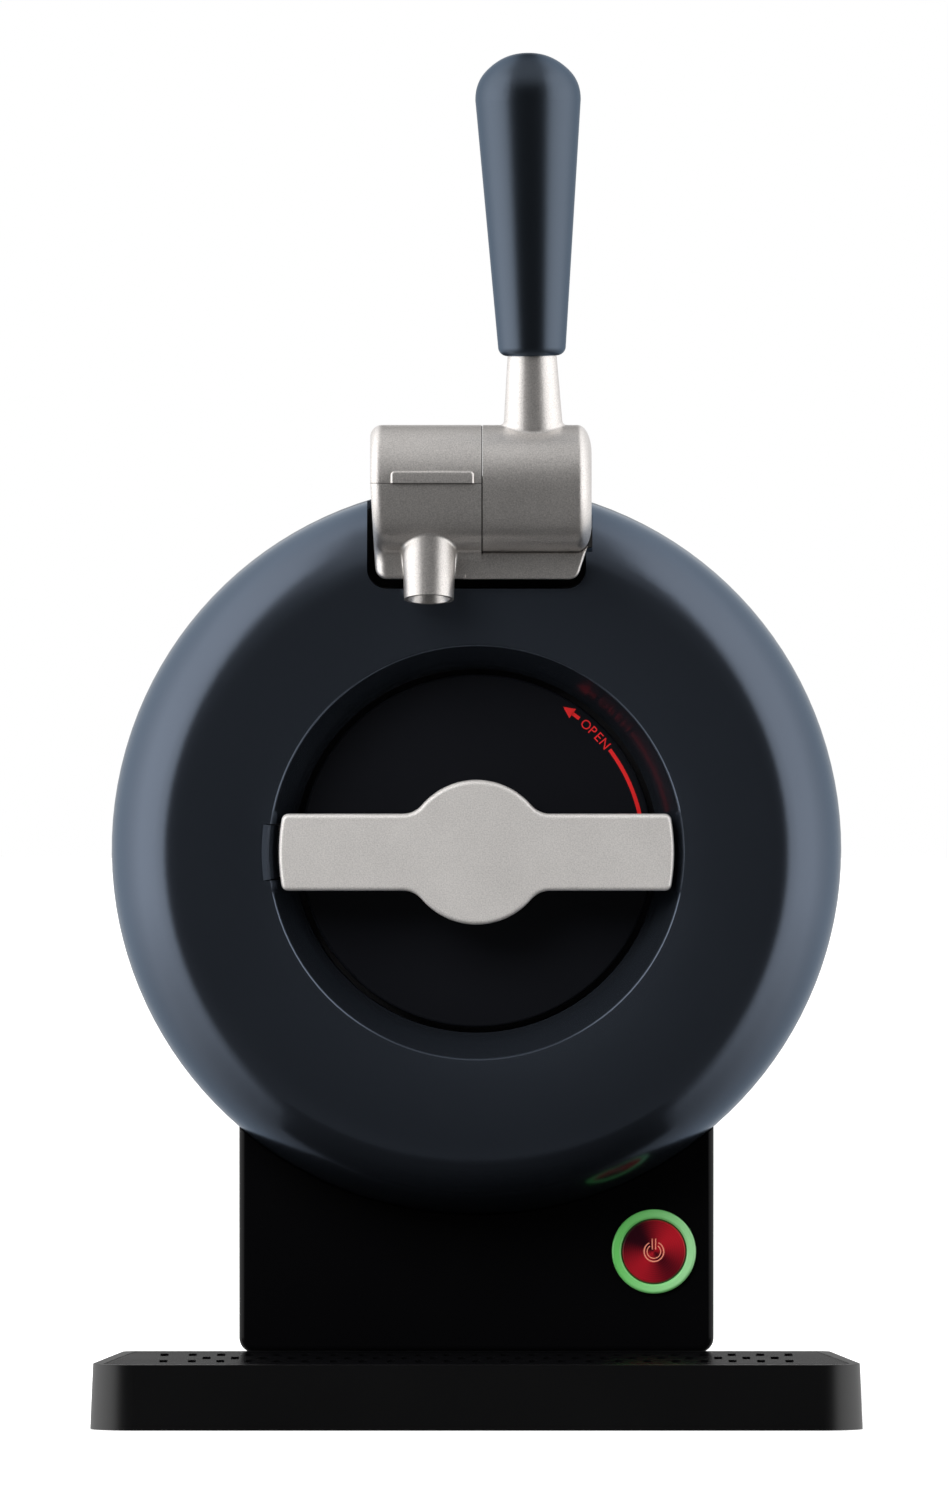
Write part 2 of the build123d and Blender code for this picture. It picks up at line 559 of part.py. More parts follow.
def fan_rotor():
    y0, y1 = FAN_Y0 + 1.2, FAN_Y0 + FAN_T - 4.6
    mid = (y0 + y1) / 2
    hub = rod_y(FAN_HUB_R, y0, y1)
    reach = FAN_BORE - 0.9
    blades = None
    for i in range(FAN_BLADES):
        blade = Pos((FAN_HUB_R + reach) / 2, mid, 0) * Rot(BLADE_TILT, 0, 0) * Box(
            reach - FAN_HUB_R + 6, BLADE_T, 15)
        blade = Rot(0, 360 / FAN_BLADES * i, 0) * blade
        blades = blade if blades is None else blades + blade
    blades &= ring_y(FAN_HUB_R - 1, reach, y0, y1)
    rotor = hub + blades + rod_y(FAN_SHAFT_R, y1 - 1, y1 + 3.2)
    return Pos(0, 0, AXIS_Z) * rotor


# ---------------------------------------------------------------- air supply
PUMP_TOP = 46.0


def air_nozzle():
    z0, z1 = AXIS_Z - FOAM_R - 3, AXIS_Z - LINER_R + 1.0
    tube = rod_z(NOZZLE_R, z0, z1, y=NOZZLE_Y) + rod_z(NOZZLE_R + 2.5, z0, z0 + 2.5, y=NOZZLE_Y)
    return tube - rod_z(NOZZLE_BORE, z0 - 1, z1 + 1, y=NOZZLE_Y)


def air_hose():
    z1 = AXIS_Z - FOAM_R - 3
    return (rod_z(NOZZLE_R, PUMP_TOP + 2, z1, y=NOZZLE_Y)
            - rod_z(NOZZLE_BORE, PUMP_TOP, z1 + 1, y=NOZZLE_Y))


def pump_head():
    head = box(-15, 15, NOZZLE_Y - 12, NOZZLE_Y + 12, PUMP_TOP - 20, PUMP_TOP)
    head = fillet(head.edges().filter_by(Axis.Z), 3)
    head += rod_z(NOZZLE_R + 0.8, PUMP_TOP - 1, PUMP_TOP + 2, y=NOZZLE_Y)
    return head - rod_z(NOZZLE_BORE, PUMP_TOP - 6, PUMP_TOP + 3, y=NOZZLE_Y)


PUMP_Z = PUMP_TOP - 9
MOTOR_R, MOTOR_L = 12.0, 42.0
PUMP_FLOOR = FOOT_Z + PED_WALL + SPLIT_GAP


def pump_motor():
    y1 = NOZZLE_Y - 12
    motor = rod_y(MOTOR_R, y1 - MOTOR_L, y1, z=PUMP_Z)
    return fillet(motor.edges().filter_by(GeomType.CIRCLE).sort_by(Axis.Y)[:1], 2)


def pump_cradle():
    y1 = NOZZLE_Y - 12 - GAP
    cradle = box(-14, 14, y1 - MOTOR_L + 4, y1, PUMP_FLOOR, PUMP_Z - 2)
    cradle += box(-14, 14, y1 - 1, NOZZLE_Y + 12, PUMP_FLOOR, PUMP_TOP - 20 - SPLIT_GAP)
    return cradle - rod_y(MOTOR_R + SPLIT_GAP, y1 - MOTOR_L, y1 + 0.5, z=PUMP_Z)


# ---------------------------------------------------------------- tap
def left_body_block():
    """Fixed barrel, run down into the foot: a round front that blends into a flat one."""
    foot = Pos((BASE_FRONT + TAP_Y + TAP_R) / 2, (TAP_BOTTOM + TAP_Z) / 2) * Rectangle(
        TAP_Y + TAP_R - BASE_FRONT, TAP_Z - TAP_BOTTOM)
    profile = Pos(TAP_Y, TAP_Z) * Circle(TAP_R) + foot
    corner = [v for v in profile.vertices() if abs(v.X - BASE_FRONT) < 0.01]
    inner, low = sorted(corner, key=lambda v: -v.Y)
    profile = fillet(inner, BASE_BLEND)
    low = [v for v in profile.vertices() if abs(v.Y - TAP_BOTTOM) < 0.01]
    profile = fillet(low, FOOT_ROUND)
    x1 = TAP_SPLIT - SPLIT_GAP
    block = Pos(TAP_X0 - 4) * extrude(Plane.YZ * profile, x1 - TAP_X0 + 4)
    lean = math.degrees(math.atan(BASE_LEAN / (SPLIT_Z - TAP_BOTTOM)))
    block -= Pos(TAP_X0, TAP_Y, SPLIT_Z) * Rot(0, -lean, 0) * Pos(-20, 0, 0) * Box(40, 80, 160)
    end = block.faces().sort_by(Axis.X)[0]
    block = fillet(end.edges(), END_ROUND)
    return block - box(TAP_X0 - 5, TAP_SPLIT + 5, TAP_Y - TAP_R - 5, TAP_Y + TAP_R + 5, SPLIT_Z,
                       TAP_Z + TAP_R + 5)


def ledge():
    """Foot of the tap under the turning drum, hollowed to the drum's own shape."""
    top = TAP_Z - TAP_R + 2
    slope = (LEDGE_X1 - LEDGE_X0) / (TAP_Z - TAP_R - TAP_BOTTOM)
    right = LEDGE_X0 + slope * (top - TAP_BOTTOM)
    end = make_face(Polyline((TAP_SPLIT - 6, TAP_BOTTOM), (LEDGE_X0, TAP_BOTTOM), (right, top),
                             (TAP_SPLIT - 6, top), close=True))
    end = fillet(end.vertices().sort_by(Axis.X)[-2:].sort_by(Axis.Y)[:1], LOW_ROUND)
    depth = TAP_Y + TAP_R - BASE_FRONT
    block = Pos(0, BASE_FRONT) * extrude(Plane.XZ * end, -depth)
    low = [e for e in block.faces().sort_by(Axis.Y)[0].edges() if e.center().Z < TAP_BOTTOM + 6]
    block = fillet(low, 1.0) - lever_drum(TAP_SPLIT - SPLIT_GAP, GAP)
    block -= box(NOTCH_CUT_X - GAP, 2 * NOTCH_CUT_X, FACE_Y - GAP, 0, TAP_BOTTOM - 5, TAP_Z)
    front = block.faces().filter_by(Plane.XZ).sort_by(Axis.Y)[0]
    high = [e for e in front.edges() if e.center().Z > TAP_Z - TAP_R - 1 and e.center().X > TAP_SPLIT]
    return chamfer(high, LEDGE_EDGE)


def lever_drum(x0, grow):
    """Turning drum of the tap from x0 to its rounded right end, larger by grow all round."""
    r, x1 = TAP_R + grow, TAP_X1 + grow
    profile = make_face(Curve() + [
        Line((x0, 0), (x0, r)),
        Line((x0, r), (x1 - DRUM_END_X, r)),
        EllipticalCenterArc((x1 - DRUM_END_X, r - DRUM_END_R), DRUM_END_X, DRUM_END_R, 0),
        Line((x1, r - DRUM_END_R), (x1, 0)),
        Line((x1, 0), (x0, 0)),
    ])
    return Pos(0, TAP_Y, TAP_Z) * revolve(profile, Axis.X, 360)


def spout_frame():
    return Pos(SPOUT_X, SPOUT_Y, SPOUT_Z) * Rot(-SPOUT_TILT, 0, 0)


def spout_cone(length_up):
    r_top = SPOUT_R + SPOUT_GROW * (SPOUT_LEN + length_up)
    height = SPOUT_LEN + length_up
    return spout_frame() * Pos(0, 0, (length_up - SPOUT_LEN) / 2) * Cone(SPOUT_R, r_top, height)


def tap_cavities():
    """Beer channel, funnel mouth, room for the pinch jaw, and slot for the crank pin."""
    cut = spout_frame() * Pos(0, 0, (30 - SPOUT_LEN) / 2) * Cylinder(BORE_R, 30 + SPOUT_LEN + 2)
    funnel = Cone(MOUTH_R, BORE_R, MOUTH_D)
    cut += spout_frame() * Pos(0, 0, -SPOUT_LEN + MOUTH_D / 2) * funnel
    side = 0.4
    cut += box(JAW_X0 - side, JAW_X1 + side, JAW_Y0 - side, JAW_Y1 + JAW_TRAVEL + 0.6,
               JAW_Z0 - side, SPLIT_Z + 1)
    cut += box(NOSE_X0 - side, NOSE_X1 + side, NOSE_Y0 - side, JAW_Y0, JAW_Z0, SPLIT_Z + 1)
    start = -90 - LEVER_SWING / 2
    arc = SlotArc(CenterArc((0, 0), CRANK_R, start, LEVER_SWING), 2 * (CRANK_PIN_R + 0.3))
    slot = extrude(Plane.YZ * arc, WEB_T + 4)
    cut += Pos(TAP_SPLIT - WEB_T - 3, TAP_Y, TAP_Z) * slot
    return cut


def tap_body():
    block = left_body_block()
    spout = spout_cone(6.0) - box(-60, 60, -140, -100, TAP_BOTTOM - 20, SPLIT_Z + 20)
    body = block + spout
    body = fillet(new_edges(block, spout, combined=body), SPOUT_COLLAR)
    body += ledge()
    web_x1 = TAP_SPLIT - SPLIT_GAP
    body += rod_x(WEB_R, web_x1 - WEB_T, web_x1, TAP_Y, TAP_Z)
    tail = box(-28, 28, TAP_Y, TAP_BACK, TAP_BOTTOM + 3, TAP_Z - 4)
    tail -= rod_x(TAP_R + GAP, TAP_SPLIT - SPLIT_GAP, 60, TAP_Y, TAP_Z)
    body += tail
    for x0 in (TAP_X0 + 1, TAP_SPLIT - 5.8):
        ear = rod_x(LID_KNUCKLE_R, x0, x0 + 4, LID_PIN_Y, LID_PIN_Z)
        ear += box(x0, x0 + 4, LID_PIN_Y - LID_KNUCKLE_R, LID_PIN_Y + LID_KNUCKLE_R,
                   TAP_Z - 8, LID_PIN_Z)
        ear += box(x0, x0 + 4, TAP_Y + TAP_R - 5, LID_PIN_Y, TAP_Z - 8, SPLIT_Z - 1)
        body += ear - rod_x(LID_PIN_R, x0 - 1, x0 + 5, LID_PIN_Y, LID_PIN_Z)
    body -= tap_cavities()
    body -= rod_x(AXLE_R, web_x1 - WEB_T + 1.5, web_x1 + 1, TAP_Y, TAP_Z)
    for x in TAP_SCREWS_X:
        body -= rod_y(TAP_SCREW_R, TAP_BACK - 12, TAP_BACK + 1, x=x, z=TAP_SCREW_Z)
    return body


def tap_screws():
    y_head = WELL_BACK - GAP
    for x in TAP_SCREWS_X:
        yield (rod_y(TAP_SCREW_R - FIT, TAP_BACK - 11, y_head, x=x, z=TAP_SCREW_Z)
               + rod_y(3.4, y_head, y_head + 2.4, x=x, z=TAP_SCREW_Z))


def lid_tab():
    """Finger pull that stands proud of the lid above the split."""
    block = box(TAB_X0, TAB_X1, TAP_Y - TAP_R - 5, TAP_Y - TAP_R + 2, SPLIT_Z, SPLIT_Z + TAB_H)
    block = fillet(block.edges().filter_by(Axis.Y).sort_by(Axis.Z)[-2:], 1.5)
    tab = block & rod_x(TAP_R + TAB_PROUD, TAP_X0, TAP_SPLIT, TAP_Y, TAP_Z)
    front = tab.faces().sort_by(Axis.Y)[0]
    return fillet([e for e in front.edges() if e.center().Z > SPLIT_Z + 0.1], TAB_EDGE)


def tap_lid():
    x1 = TAP_SPLIT - SPLIT_GAP
    lid = rod_x(TAP_R, TAP_X0, x1, TAP_Y, TAP_Z)
    lid = fillet(lid.edges().filter_by(GeomType.CIRCLE).sort_by(Axis.X)[:1], END_ROUND)
    lid += lid_tab()
    lid -= rod_x(TAP_R - LID_T, TAP_X0 + LID_T, x1 + 1, TAP_Y, TAP_Z)
    lid -= box(TAP_X0 - 5, TAP_SPLIT + 5, TAP_Y - TAP_R - 5, TAP_Y + TAP_R + 5, TAP_BOTTOM,
               SPLIT_Z + SPLIT_GAP)
    x0 = TAP_X0 + 5 + GAP
    x2 = TAP_SPLIT - 5.8 - GAP
    knuckle = rod_x(LID_KNUCKLE_R, x0, x2, LID_PIN_Y, LID_PIN_Z)
    knuckle += box(x0, x2, TAP_Y + TAP_R - 1.2, LID_PIN_Y, SPLIT_Z + SPLIT_GAP + 0.3,
                   LID_PIN_Z + LID_KNUCKLE_R)
    return lid + knuckle - rod_x(LID_PIN_R + FIT, x0 - 1, x2 + 1, LID_PIN_Y, LID_PIN_Z)


def lid_pin():
    return rod_x(LID_PIN_R - FIT / 2, TAP_X0 + 1, TAP_SPLIT - 1.8, LID_PIN_Y, LID_PIN_Z)


def tap_axle():
    x0 = TAP_SPLIT - SPLIT_GAP - WEB_T + 1.5
    return rod_x(AXLE_R, x0, TAP_X1 - 1.4, TAP_Y, TAP_Z)


def crank_place(angle):
    a = math.radians(angle - LEVER_SWING / 2)
    return TAP_Y + CRANK_R * math.sin(a), TAP_Z - CRANK_R * math.cos(a)


def stem_frame():
    """Frame of stem and grip: on the drum's axis, leaning to the left."""
    return Pos(STEM_X, TAP_Y, TAP_Z) * Rot(0, -STEM_LEAN, 0)


def tap_lever():
    x0 = TAP_SPLIT + SPLIT_GAP
    z0 = TAP_R - 6
    drum = lever_drum(x0, 0)
    stem = stem_frame() * Pos(0, 0, (z0 + STEM_TOP) / 2) * Cone(STEM_R0, STEM_R1, STEM_TOP - z0)
    lever = drum + stem
    lever = fillet(new_edges(drum, stem, combined=lever), STEM_BLEND)
    lever -= rod_x(AXLE_R + FIT, x0 - 1, TAP_X1 - 1, TAP_Y, TAP_Z)
    lever += stem_frame() * rod_z(SPIGOT_R, STEM_TOP - 1, STEM_TOP + SPIGOT_L)
    y, z = crank_place(0)
    return lever + rod_x(CRANK_PIN_R, CRANK_END, x0 + 1, y, z)


def lever_grip():
    h = GRIP_TOP - GRIP_SHOULDER
    profile = [
        Line((0, STEM_TOP), (GRIP_BOTTOM_R - GRIP_FOOT, STEM_TOP)),
        CenterArc((GRIP_BOTTOM_R - GRIP_FOOT, STEM_TOP + GRIP_FOOT), GRIP_FOOT, -90, 90),
        Line((GRIP_BOTTOM_R, STEM_TOP + GRIP_FOOT), (GRIP_SHOULDER_R, GRIP_SHOULDER)),
        Spline((GRIP_SHOULDER_R, GRIP_SHOULDER),
               (GRIP_SHOULDER_R * math.sqrt(0.5), GRIP_SHOULDER + h * math.sqrt(0.5)),
               (0, GRIP_TOP), tangents=((0, 1), (-1, 0))),
        Line((0, GRIP_TOP), (0, STEM_TOP)),
    ]
    hole = Pos(0, STEM_TOP + SPIGOT_L / 2) * Rectangle(2 * (SPIGOT_R + FIT), SPIGOT_L + 1)
    return stem_frame() * revolve(Plane.XZ * (make_face(Curve() + profile) - hole), Axis.Z, 360)


def pinch_jaw():
    jaw = box(JAW_X0, JAW_X1, JAW_Y0, JAW_Y1, JAW_Z0, JAW_Z1)
    nose = box(NOSE_X0, NOSE_X1, NOSE_Y0, JAW_Y0 + 1, JAW_Z0 + 0.4, JAW_Z1 - 2.4)
    jaw += fillet(nose.faces().sort_by(Axis.Y)[0].edges().filter_by(Axis.X), 1.5)
    y, z = crank_place(0)
    z_low = crank_place(LEVER_SWING / 2)[1]
    reach = CRANK_PIN_R + CRANK_PLAY
    return jaw - box(CRANK_END - 0.4, JAW_X1 + 1, y - reach, y + reach, z_low - reach - 0.2,
                     z + reach + 0.2)


# ---------------------------------------------------------------- pedestal
def pedestal_volume(inset, z0):
    """Block of the pedestal, moved in by inset and cut to the drum above."""
    block = box(-PED_X + inset, PED_X - inset, PED_Y0 + inset, PED_Y1, z0, AXIS_Z - 40)
    return block - drum_outside(GAP + inset, PED_Y1 + 10)


def pedestal_shell():
    block = box(-PED_X, PED_X, PED_Y0, PED_Y1, PED_Z, AXIS_Z - 40)
    block = fillet(block.edges().filter_by(Axis.Y).sort_by(Axis.Z)[:2], PED_FOOT_R)
    front = block.faces().sort_by(Axis.Y)[0]
    rim = [e for e in front.edges() if e.center().Z < AXIS_Z - 45]
    block = fillet(rim, PED_EDGE_R)
    shell = block - drum_outside(GAP, PED_Y1 + 10)
    shell -= pedestal_volume(PED_WALL, PED_Z + PED_WALL)
    shell -= box(-FOOT_X + PED_WALL, FOOT_X - PED_WALL, PED_Y0 + 8, PED_Y1 + 5, PED_Z - 5,
                 PED_Z + 8)
    shell -= box(-PED_X + 8, PED_X - 8, PED_Y1 - COVER_T - GAP, PED_Y1 + 5, PED_Z + PED_WALL,
                 AXIS_Z)
    shell -= rod_y(RING_R + FIT, PED_Y0 - 5, PED_Y0 + PED_WALL + 5, x=BUTTON_X, z=BUTTON_Z)
    return shell - lead_hole()


def base_foot():
    """Narrow foot under the pedestal: an open tray that the shell is screwed to."""
    y0, y1 = PED_Y0 + 4, PED_Y1 - 4
    foot = box(-FOOT_X, FOOT_X, y0, y1, FOOT_Z, PED_Z - SPLIT_GAP)
    foot = fillet(foot.edges().filter_by(Axis.Z), 6)
    foot -= box(-FOOT_X + PED_WALL, FOOT_X - PED_WALL, y0 + PED_WALL, y1 - PED_WALL,
                FOOT_Z + PED_WALL, PED_Z + 5)
    foot += box(-TONGUE_X, TONGUE_X, PED_Y0 - TONGUE_L, y0 + 2, TONGUE_Z0, TONGUE_Z1)
    for x, y in foot_screw_places():
        foot += rod_z(4.0, FOOT_Z, PED_Z - SPLIT_GAP, x=x, y=y)
        foot -= rod_z(FOOT_SCREW_R + FIT, FOOT_Z - 1, PED_Z + 5, x=x, y=y)
        foot -= rod_z(3.6, FOOT_Z - 1, FOOT_Z + 3, x=x, y=y)
    for x, y in pad_places():
        foot -= rod_z(FOOT_PAD_R + SPLIT_GAP, FOOT_Z - 1, FOOT_PAD_T - 1, x=x, y=y)
    return foot


TONGUE_X, TONGUE_L, TONGUE_Z0, TONGUE_Z1 = 40.0, 14.0, 5.0, 8.0
FOOT_SCREW_R = 1.7


def foot_screw_places():
    return [(sx * (FOOT_X - 8), y) for sx in (-1, 1) for y in (PED_Y0 + 16, PED_Y1 - 16)]


def pad_places():
    return [(sx * (FOOT_X - 24), y) for sx in (-1, 1) for y in (PED_Y0 + 24, PED_Y1 - 24)]


def foot_screws():
    for x, y in foot_screw_places():
        yield (rod_z(FOOT_SCREW_R, FOOT_Z + 3, PED_Z - SPLIT_GAP - 1, x=x, y=y)
               + rod_z(3.3, FOOT_Z + 0.6, FOOT_Z + 3, x=x, y=y))


def rubber_feet():
    for x, y in pad_places():
        yield rod_z(FOOT_PAD_R, 0, FOOT_PAD_T - 1, x=x, y=y)


def rear_cover():
    """Back wall of the pedestal with air slots and the power inlet's window."""
    y1 = PED_Y1 - SPLIT_GAP
    plate = box(-PED_X + 8 + GAP, PED_X - 8 - GAP, y1 - COVER_T, y1, PED_Z + PED_WALL + GAP,
                AXIS_Z - 60)
    plate -= drum_outside(GAP, PED_Y1 + 10)
    plate -= box(INLET_X - INLET_W / 2 - GAP, INLET_X + INLET_W / 2 + GAP, y1 - 10, y1 + 5,
                 INLET_Z - INLET_H / 2 - GAP, INLET_Z + INLET_H / 2 + GAP)
    for i in range(6):
        z = PED_Z + 12 + i * 5.0
        plate -= box(-52, -12, y1 - 10, y1 + 5, z, z + 2.2)
    return plate


INLET_X, INLET_Z, INLET_W, INLET_H, INLET_D = 48.0, 42.0, 26.0, 18.0, 22.0


def power_inlet():
    y1 = PED_Y1 - SPLIT_GAP
    body = box(INLET_X - INLET_W / 2, INLET_X + INLET_W / 2, y1 - INLET_D, y1,
               INLET_Z - INLET_H / 2, INLET_Z + INLET_H / 2)
    body = fillet(body.edges().filter_by(Axis.Y), 2)
    body -= box(INLET_X - 9, INLET_X + 9, y1 - 13, y1 + 1, INLET_Z - 5.5, INLET_Z + 5.5)
    for sx in (-1, 1):
        body += rod_y(1.2, y1 - 14, y1 - 3, x=INLET_X + sx * 4.3, z=INLET_Z)
    return body


INNER_FLOOR = FOOT_Z + PED_WALL + SPLIT_GAP


def power_supply():
    case = box(-62, -18, -82, 30, INNER_FLOOR, INNER_FLOOR + 34)
    return fillet(case.edges().filter_by(Axis.Z), 2)


def control_board():
    """Circuit board on four pillars with its tall parts."""
    z = INNER_FLOOR + 8
    board = box(-6, 58, -72, 28, z, z + 1.6)
    for x in (0, 52):
        for y in (-66, 22):
            board += rod_z(2.5, INNER_FLOOR, z + 0.5, x=x, y=y)
    for i, (x, y) in enumerate(((8, -50), (24, -50), (8, -30))):
        board += rod_z(5 + i * 0.5, z + 1, z + 16, x=x, y=y)
    board += box(20, 36, -24, -8, z + 1, z + 3.2)
    return board + box(12, 42, 4, 18, z + 1, z + 12)


def lead():
    """Fan lead: board, up past the foam, through the rear bulkhead, to the fan frame."""
    y_fan = FAN_Y0 + FAN_T / 2
    points = [
        (LEAD_X, 18 + SPLIT_GAP, INNER_FLOOR + 14),
        (LEAD_X, NOZZLE_Y - 6, INNER_FLOOR + 14),
        (LEAD_X, NOZZLE_Y, LEAD_HOLE_Z),
        (LEAD_X, y_fan, LEAD_HOLE_Z),
        (LEAD_X, y_fan, AXIS_Z - FAN / 2),
    ]
    path = FilletPolyline(*points, radius=9)
    start = Plane(origin=points[0], z_dir=(0, 1, 0))
    return sweep(start * Circle(LEAD_R), path=path)


# ---------------------------------------------------------------- power button
def button_ring():
    y0 = PED_Y0 - RING_PROUD
    ring = ring_y(CAP_R + GAP, RING_R, y0, PED_Y0 + PED_WALL + 2)
    outer = ring.edges().filter_by(GeomType.CIRCLE).sort_by(Axis.Y)[:2]
    ring = fillet(outer, 0.9)
    return Pos(BUTTON_X, 0, BUTTON_Z) * ring


def button_cap():
    y0 = PED_Y0 - CAP_PROUD
    cap = rod_y(CAP_R, y0, y0 + CAP_T)
    cap = fillet(cap.edges().filter_by(GeomType.CIRCLE).sort_by(Axis.Y)[:1], 0.6)
    cap += rod_y(CAP_STEM_R, y0 + CAP_T - 1, PED_Y0 + 14)
    return Pos(BUTTON_X, 0, BUTTON_Z) * cap


def button_housing():
    """Cup behind the panel with a bored floor that guides the cap's stem."""
    y0 = PED_Y0 + PED_WALL + SPLIT_GAP
    cup = rod_y(HOUSING_R, y0, HOUSING_Y1) - rod_y(RING_R + FIT, y0 - 1, y0 + 2)
    cup -= rod_y(CAP_R + GAP, y0, PED_Y0 + 10)
    cup -= rod_y(CAP_STEM_R + FIT, y0, PED_Y0 + 14)
    cup -= rod_y(7.0, PED_Y0 + 13, HOUSING_Y1 + 1)
    return Pos(BUTTON_X, 0, BUTTON_Z) * cup


def button_spring():
    """Coil spring round the stem, between the cap and the cup's floor."""
    y0 = PED_Y0 - CAP_PROUD + CAP_T + SPRING_WIRE + 0.05
    length = PED_Y0 + 10 - SPRING_WIRE - 0.05 - y0
    coil = Helix(pitch=length / SPRING_TURNS, height=length, radius=SPRING_R)
    start = Plane(origin=coil @ 0, z_dir=coil % 0)
    wire = sweep(start * Circle(SPRING_WIRE), path=coil, is_frenet=True)
    return Pos(BUTTON_X, y0, BUTTON_Z) * Rot(-90, 0, 0) * wire


def button_switch():
    """Small push switch on its board, closed by the end of the stem."""
    y0 = PED_Y0 + 14 + CAP_TRAVEL + GAP
    switch = rod_y(2.0, y0, y0 + 2) + box(-3, 3, y0 + 1.5, HOUSING_Y1 + SPLIT_GAP, -3, 3)
    board = rod_y(HOUSING_R, HOUSING_Y1 + SPLIT_GAP, HOUSING_Y1 + SPLIT_GAP + 1.6)
    return Pos(BUTTON_X, 0, BUTTON_Z) * (switch + board)


# ---------------------------------------------------------------- drip tray
def tray_outline(inset):
    """Plan of the tray: wide and well rounded in front, narrower at the pedestal."""
    y0, y1 = TRAY_FRONT + inset, TRAY_BACK - inset
    w0, w1 = TRAY_W0 - inset, TRAY_W1 - inset
    plan = make_face(Polyline((-w0, y0), (w0, y0), (w1, y1), (-w1, y1), close=True))
    corners = plan.vertices().sort_by(Axis.Y)
    plan = fillet(corners[:2], TRAY_CORNER - inset)
    back = plan.vertices().sort_by(Axis.Y)[-2:]
    return fillet(back, max(TRAY_BACK_CORNER - inset, 1.0))


def tray_slab(inset, z0, z1):
    return Pos(0, 0, z0) * extrude(tray_outline(inset), z1 - z0)


def tray_body():
    tray = loft([tray_outline(0), Pos(0, 0, TRAY_H) * tray_outline(TRAY_DRAFT)])
    tray -= tray_slab(GRID_IN - GAP, TRAY_H - GRID_T - GAP, TRAY_H + 2)
    tray -= tray_slab(LEDGE_IN, TRAY_FLOOR, TRAY_H + 2)
    tray -= box(-TONGUE_X - 1, TONGUE_X + 1, PED_Y0 - TONGUE_L - 1.5, TRAY_BACK + 5,
                TONGUE_Z0 - 0.5, TONGUE_Z1 + 0.5)
    tray += tongue_tunnel()
    for x, y in tray_pad_places():
        tray -= rod_z(FOOT_PAD_R - 2 + SPLIT_GAP, -1, 1.2, x=x, y=y)
    return tray - box(-TRAY_W0 - 5, TRAY_W0 + 5, TRAY_FRONT - 5, TRAY_BACK + 5, -1, TRAY_LIFT)


def tongue_tunnel():
    """Roof and walls that keep the drips out of the slot for the foot's tongue."""
    y0, y1 = PED_Y0 - TONGUE_L - 4, TRAY_BACK - 1
    outer = box(-TONGUE_X - 3.5, TONGUE_X + 3.5, y0, y1, TRAY_FLOOR - 0.5, TONGUE_Z1 + 3)
    return outer - box(-TONGUE_X - 1, TONGUE_X + 1, y0 + 2.5, y1 + 5, TONGUE_Z0 - 0.5,
                       TONGUE_Z1 + 0.5)


def tray_pad_places():
    return [(sx * (TRAY_W0 - 30), TRAY_FRONT + 24) for sx in (-1, 1)]


def tray_pads():
    for x, y in tray_pad_places():
        yield rod_z(FOOT_PAD_R - 2, 0, 1.2, x=x, y=y)


def drip_grid():
    """Flat grid with three rows of slots; the middle row is set half a pitch across."""
    grid = tray_slab(GRID_IN, TRAY_H - GRID_T, TRAY_H)
    depth = TRAY_BACK - TRAY_FRONT
    row_pitch = SLOT_L + 5
    rows = int((depth - 2 * GRID_IN - 12) // row_pitch)
    cut = []
    for row in range(rows):
        y = TRAY_FRONT + depth / 2 + (row - (rows - 1) / 2) * row_pitch
        reach = TRAY_W1 - GRID_IN - 8
        shift = SLOT_PITCH / 2 if row % 2 else 0.0
        count = int((reach - shift) // SLOT_PITCH)
        for i in range(-count, count + 1):
            x = i * SLOT_PITCH + shift
            if abs(x) < reach:
                cut.append(Pos(x, y) * SlotOverall(SLOT_L, SLOT_W, rotation=90))
    holes = Sketch() + cut
    return grid - Pos(0, 0, TRAY_H - GRID_T - 1) * extrude(holes, GRID_T + 2)


# ---------------------------------------------------------------- build
def build():
    os.makedirs("parts", exist_ok=True)
    write("front_shell", front_shell())
    write("rear_shell", rear_shell())
    write("rear_grille", rear_grille())
    write("tap_well", tap_well())
    write("front_bulkhead", front_bulkhead())
    write("door_frame", door_frame())
    write("frame_screws", *frame_screws())
    write("door_disc", door_disc())
    write("door_plug", door_plug())
    write("door_seal", door_seal())
    write("hinge_arm", hinge_arm())
    write("hinge_pin", hinge_pin())
    write("handle_bar", handle_bar() - handle_shaft())
    write("handle_shaft", handle_shaft())
    write("latch_bar", latch_bar())
    write("chamber_liner", chamber_liner())
    write("foam_upper", foam_half(True))
    write("foam_lower", foam_half(False))
    write("rear_bulkhead", rear_bulkhead())
    write("cold_block", cold_block())
    write("cooling_chip", cooling_chip())
    write("heat_sink", heat_sink())
    write("cooler_screws", *cooler_screws())
    write("fan_frame", fan_frame())
    write("fan_rotor", fan_rotor())
    write("air_nozzle", air_nozzle())
    write("air_hose", air_hose())
    write("pump_head", pump_head())
    write("pump_motor", pump_motor())
    write("pump_cradle", pump_cradle())
    write("tap_body", tap_body())
    write("tap_screws", *tap_screws())
    write("tap_lid", tap_lid())
    write("lid_pin", lid_pin())
    write("tap_axle", tap_axle())
    write("tap_lever", tap_lever())
    write("lever_grip", lever_grip())
    write("pinch_jaw", pinch_jaw())
    write("pedestal_shell", pedestal_shell())
    write("base_foot", base_foot())
    write("foot_screws", *foot_screws())
    write("rubber_feet", *rubber_feet())
    write("rear_cover", rear_cover())
    write("power_inlet", power_inlet())
    write("power_supply", power_supply())
    write("control_board", control_board())
    write("fan_lead", lead())
    write("button_ring", button_ring())
    write("button_cap", button_cap())
    write("button_housing", button_housing())
    write("button_spring", button_spring())
    write("button_switch", button_switch())
    write("tray_body", tray_body())
    write("tray_pads", *tray_pads())
    write("drip_grid", drip_grid())


build()
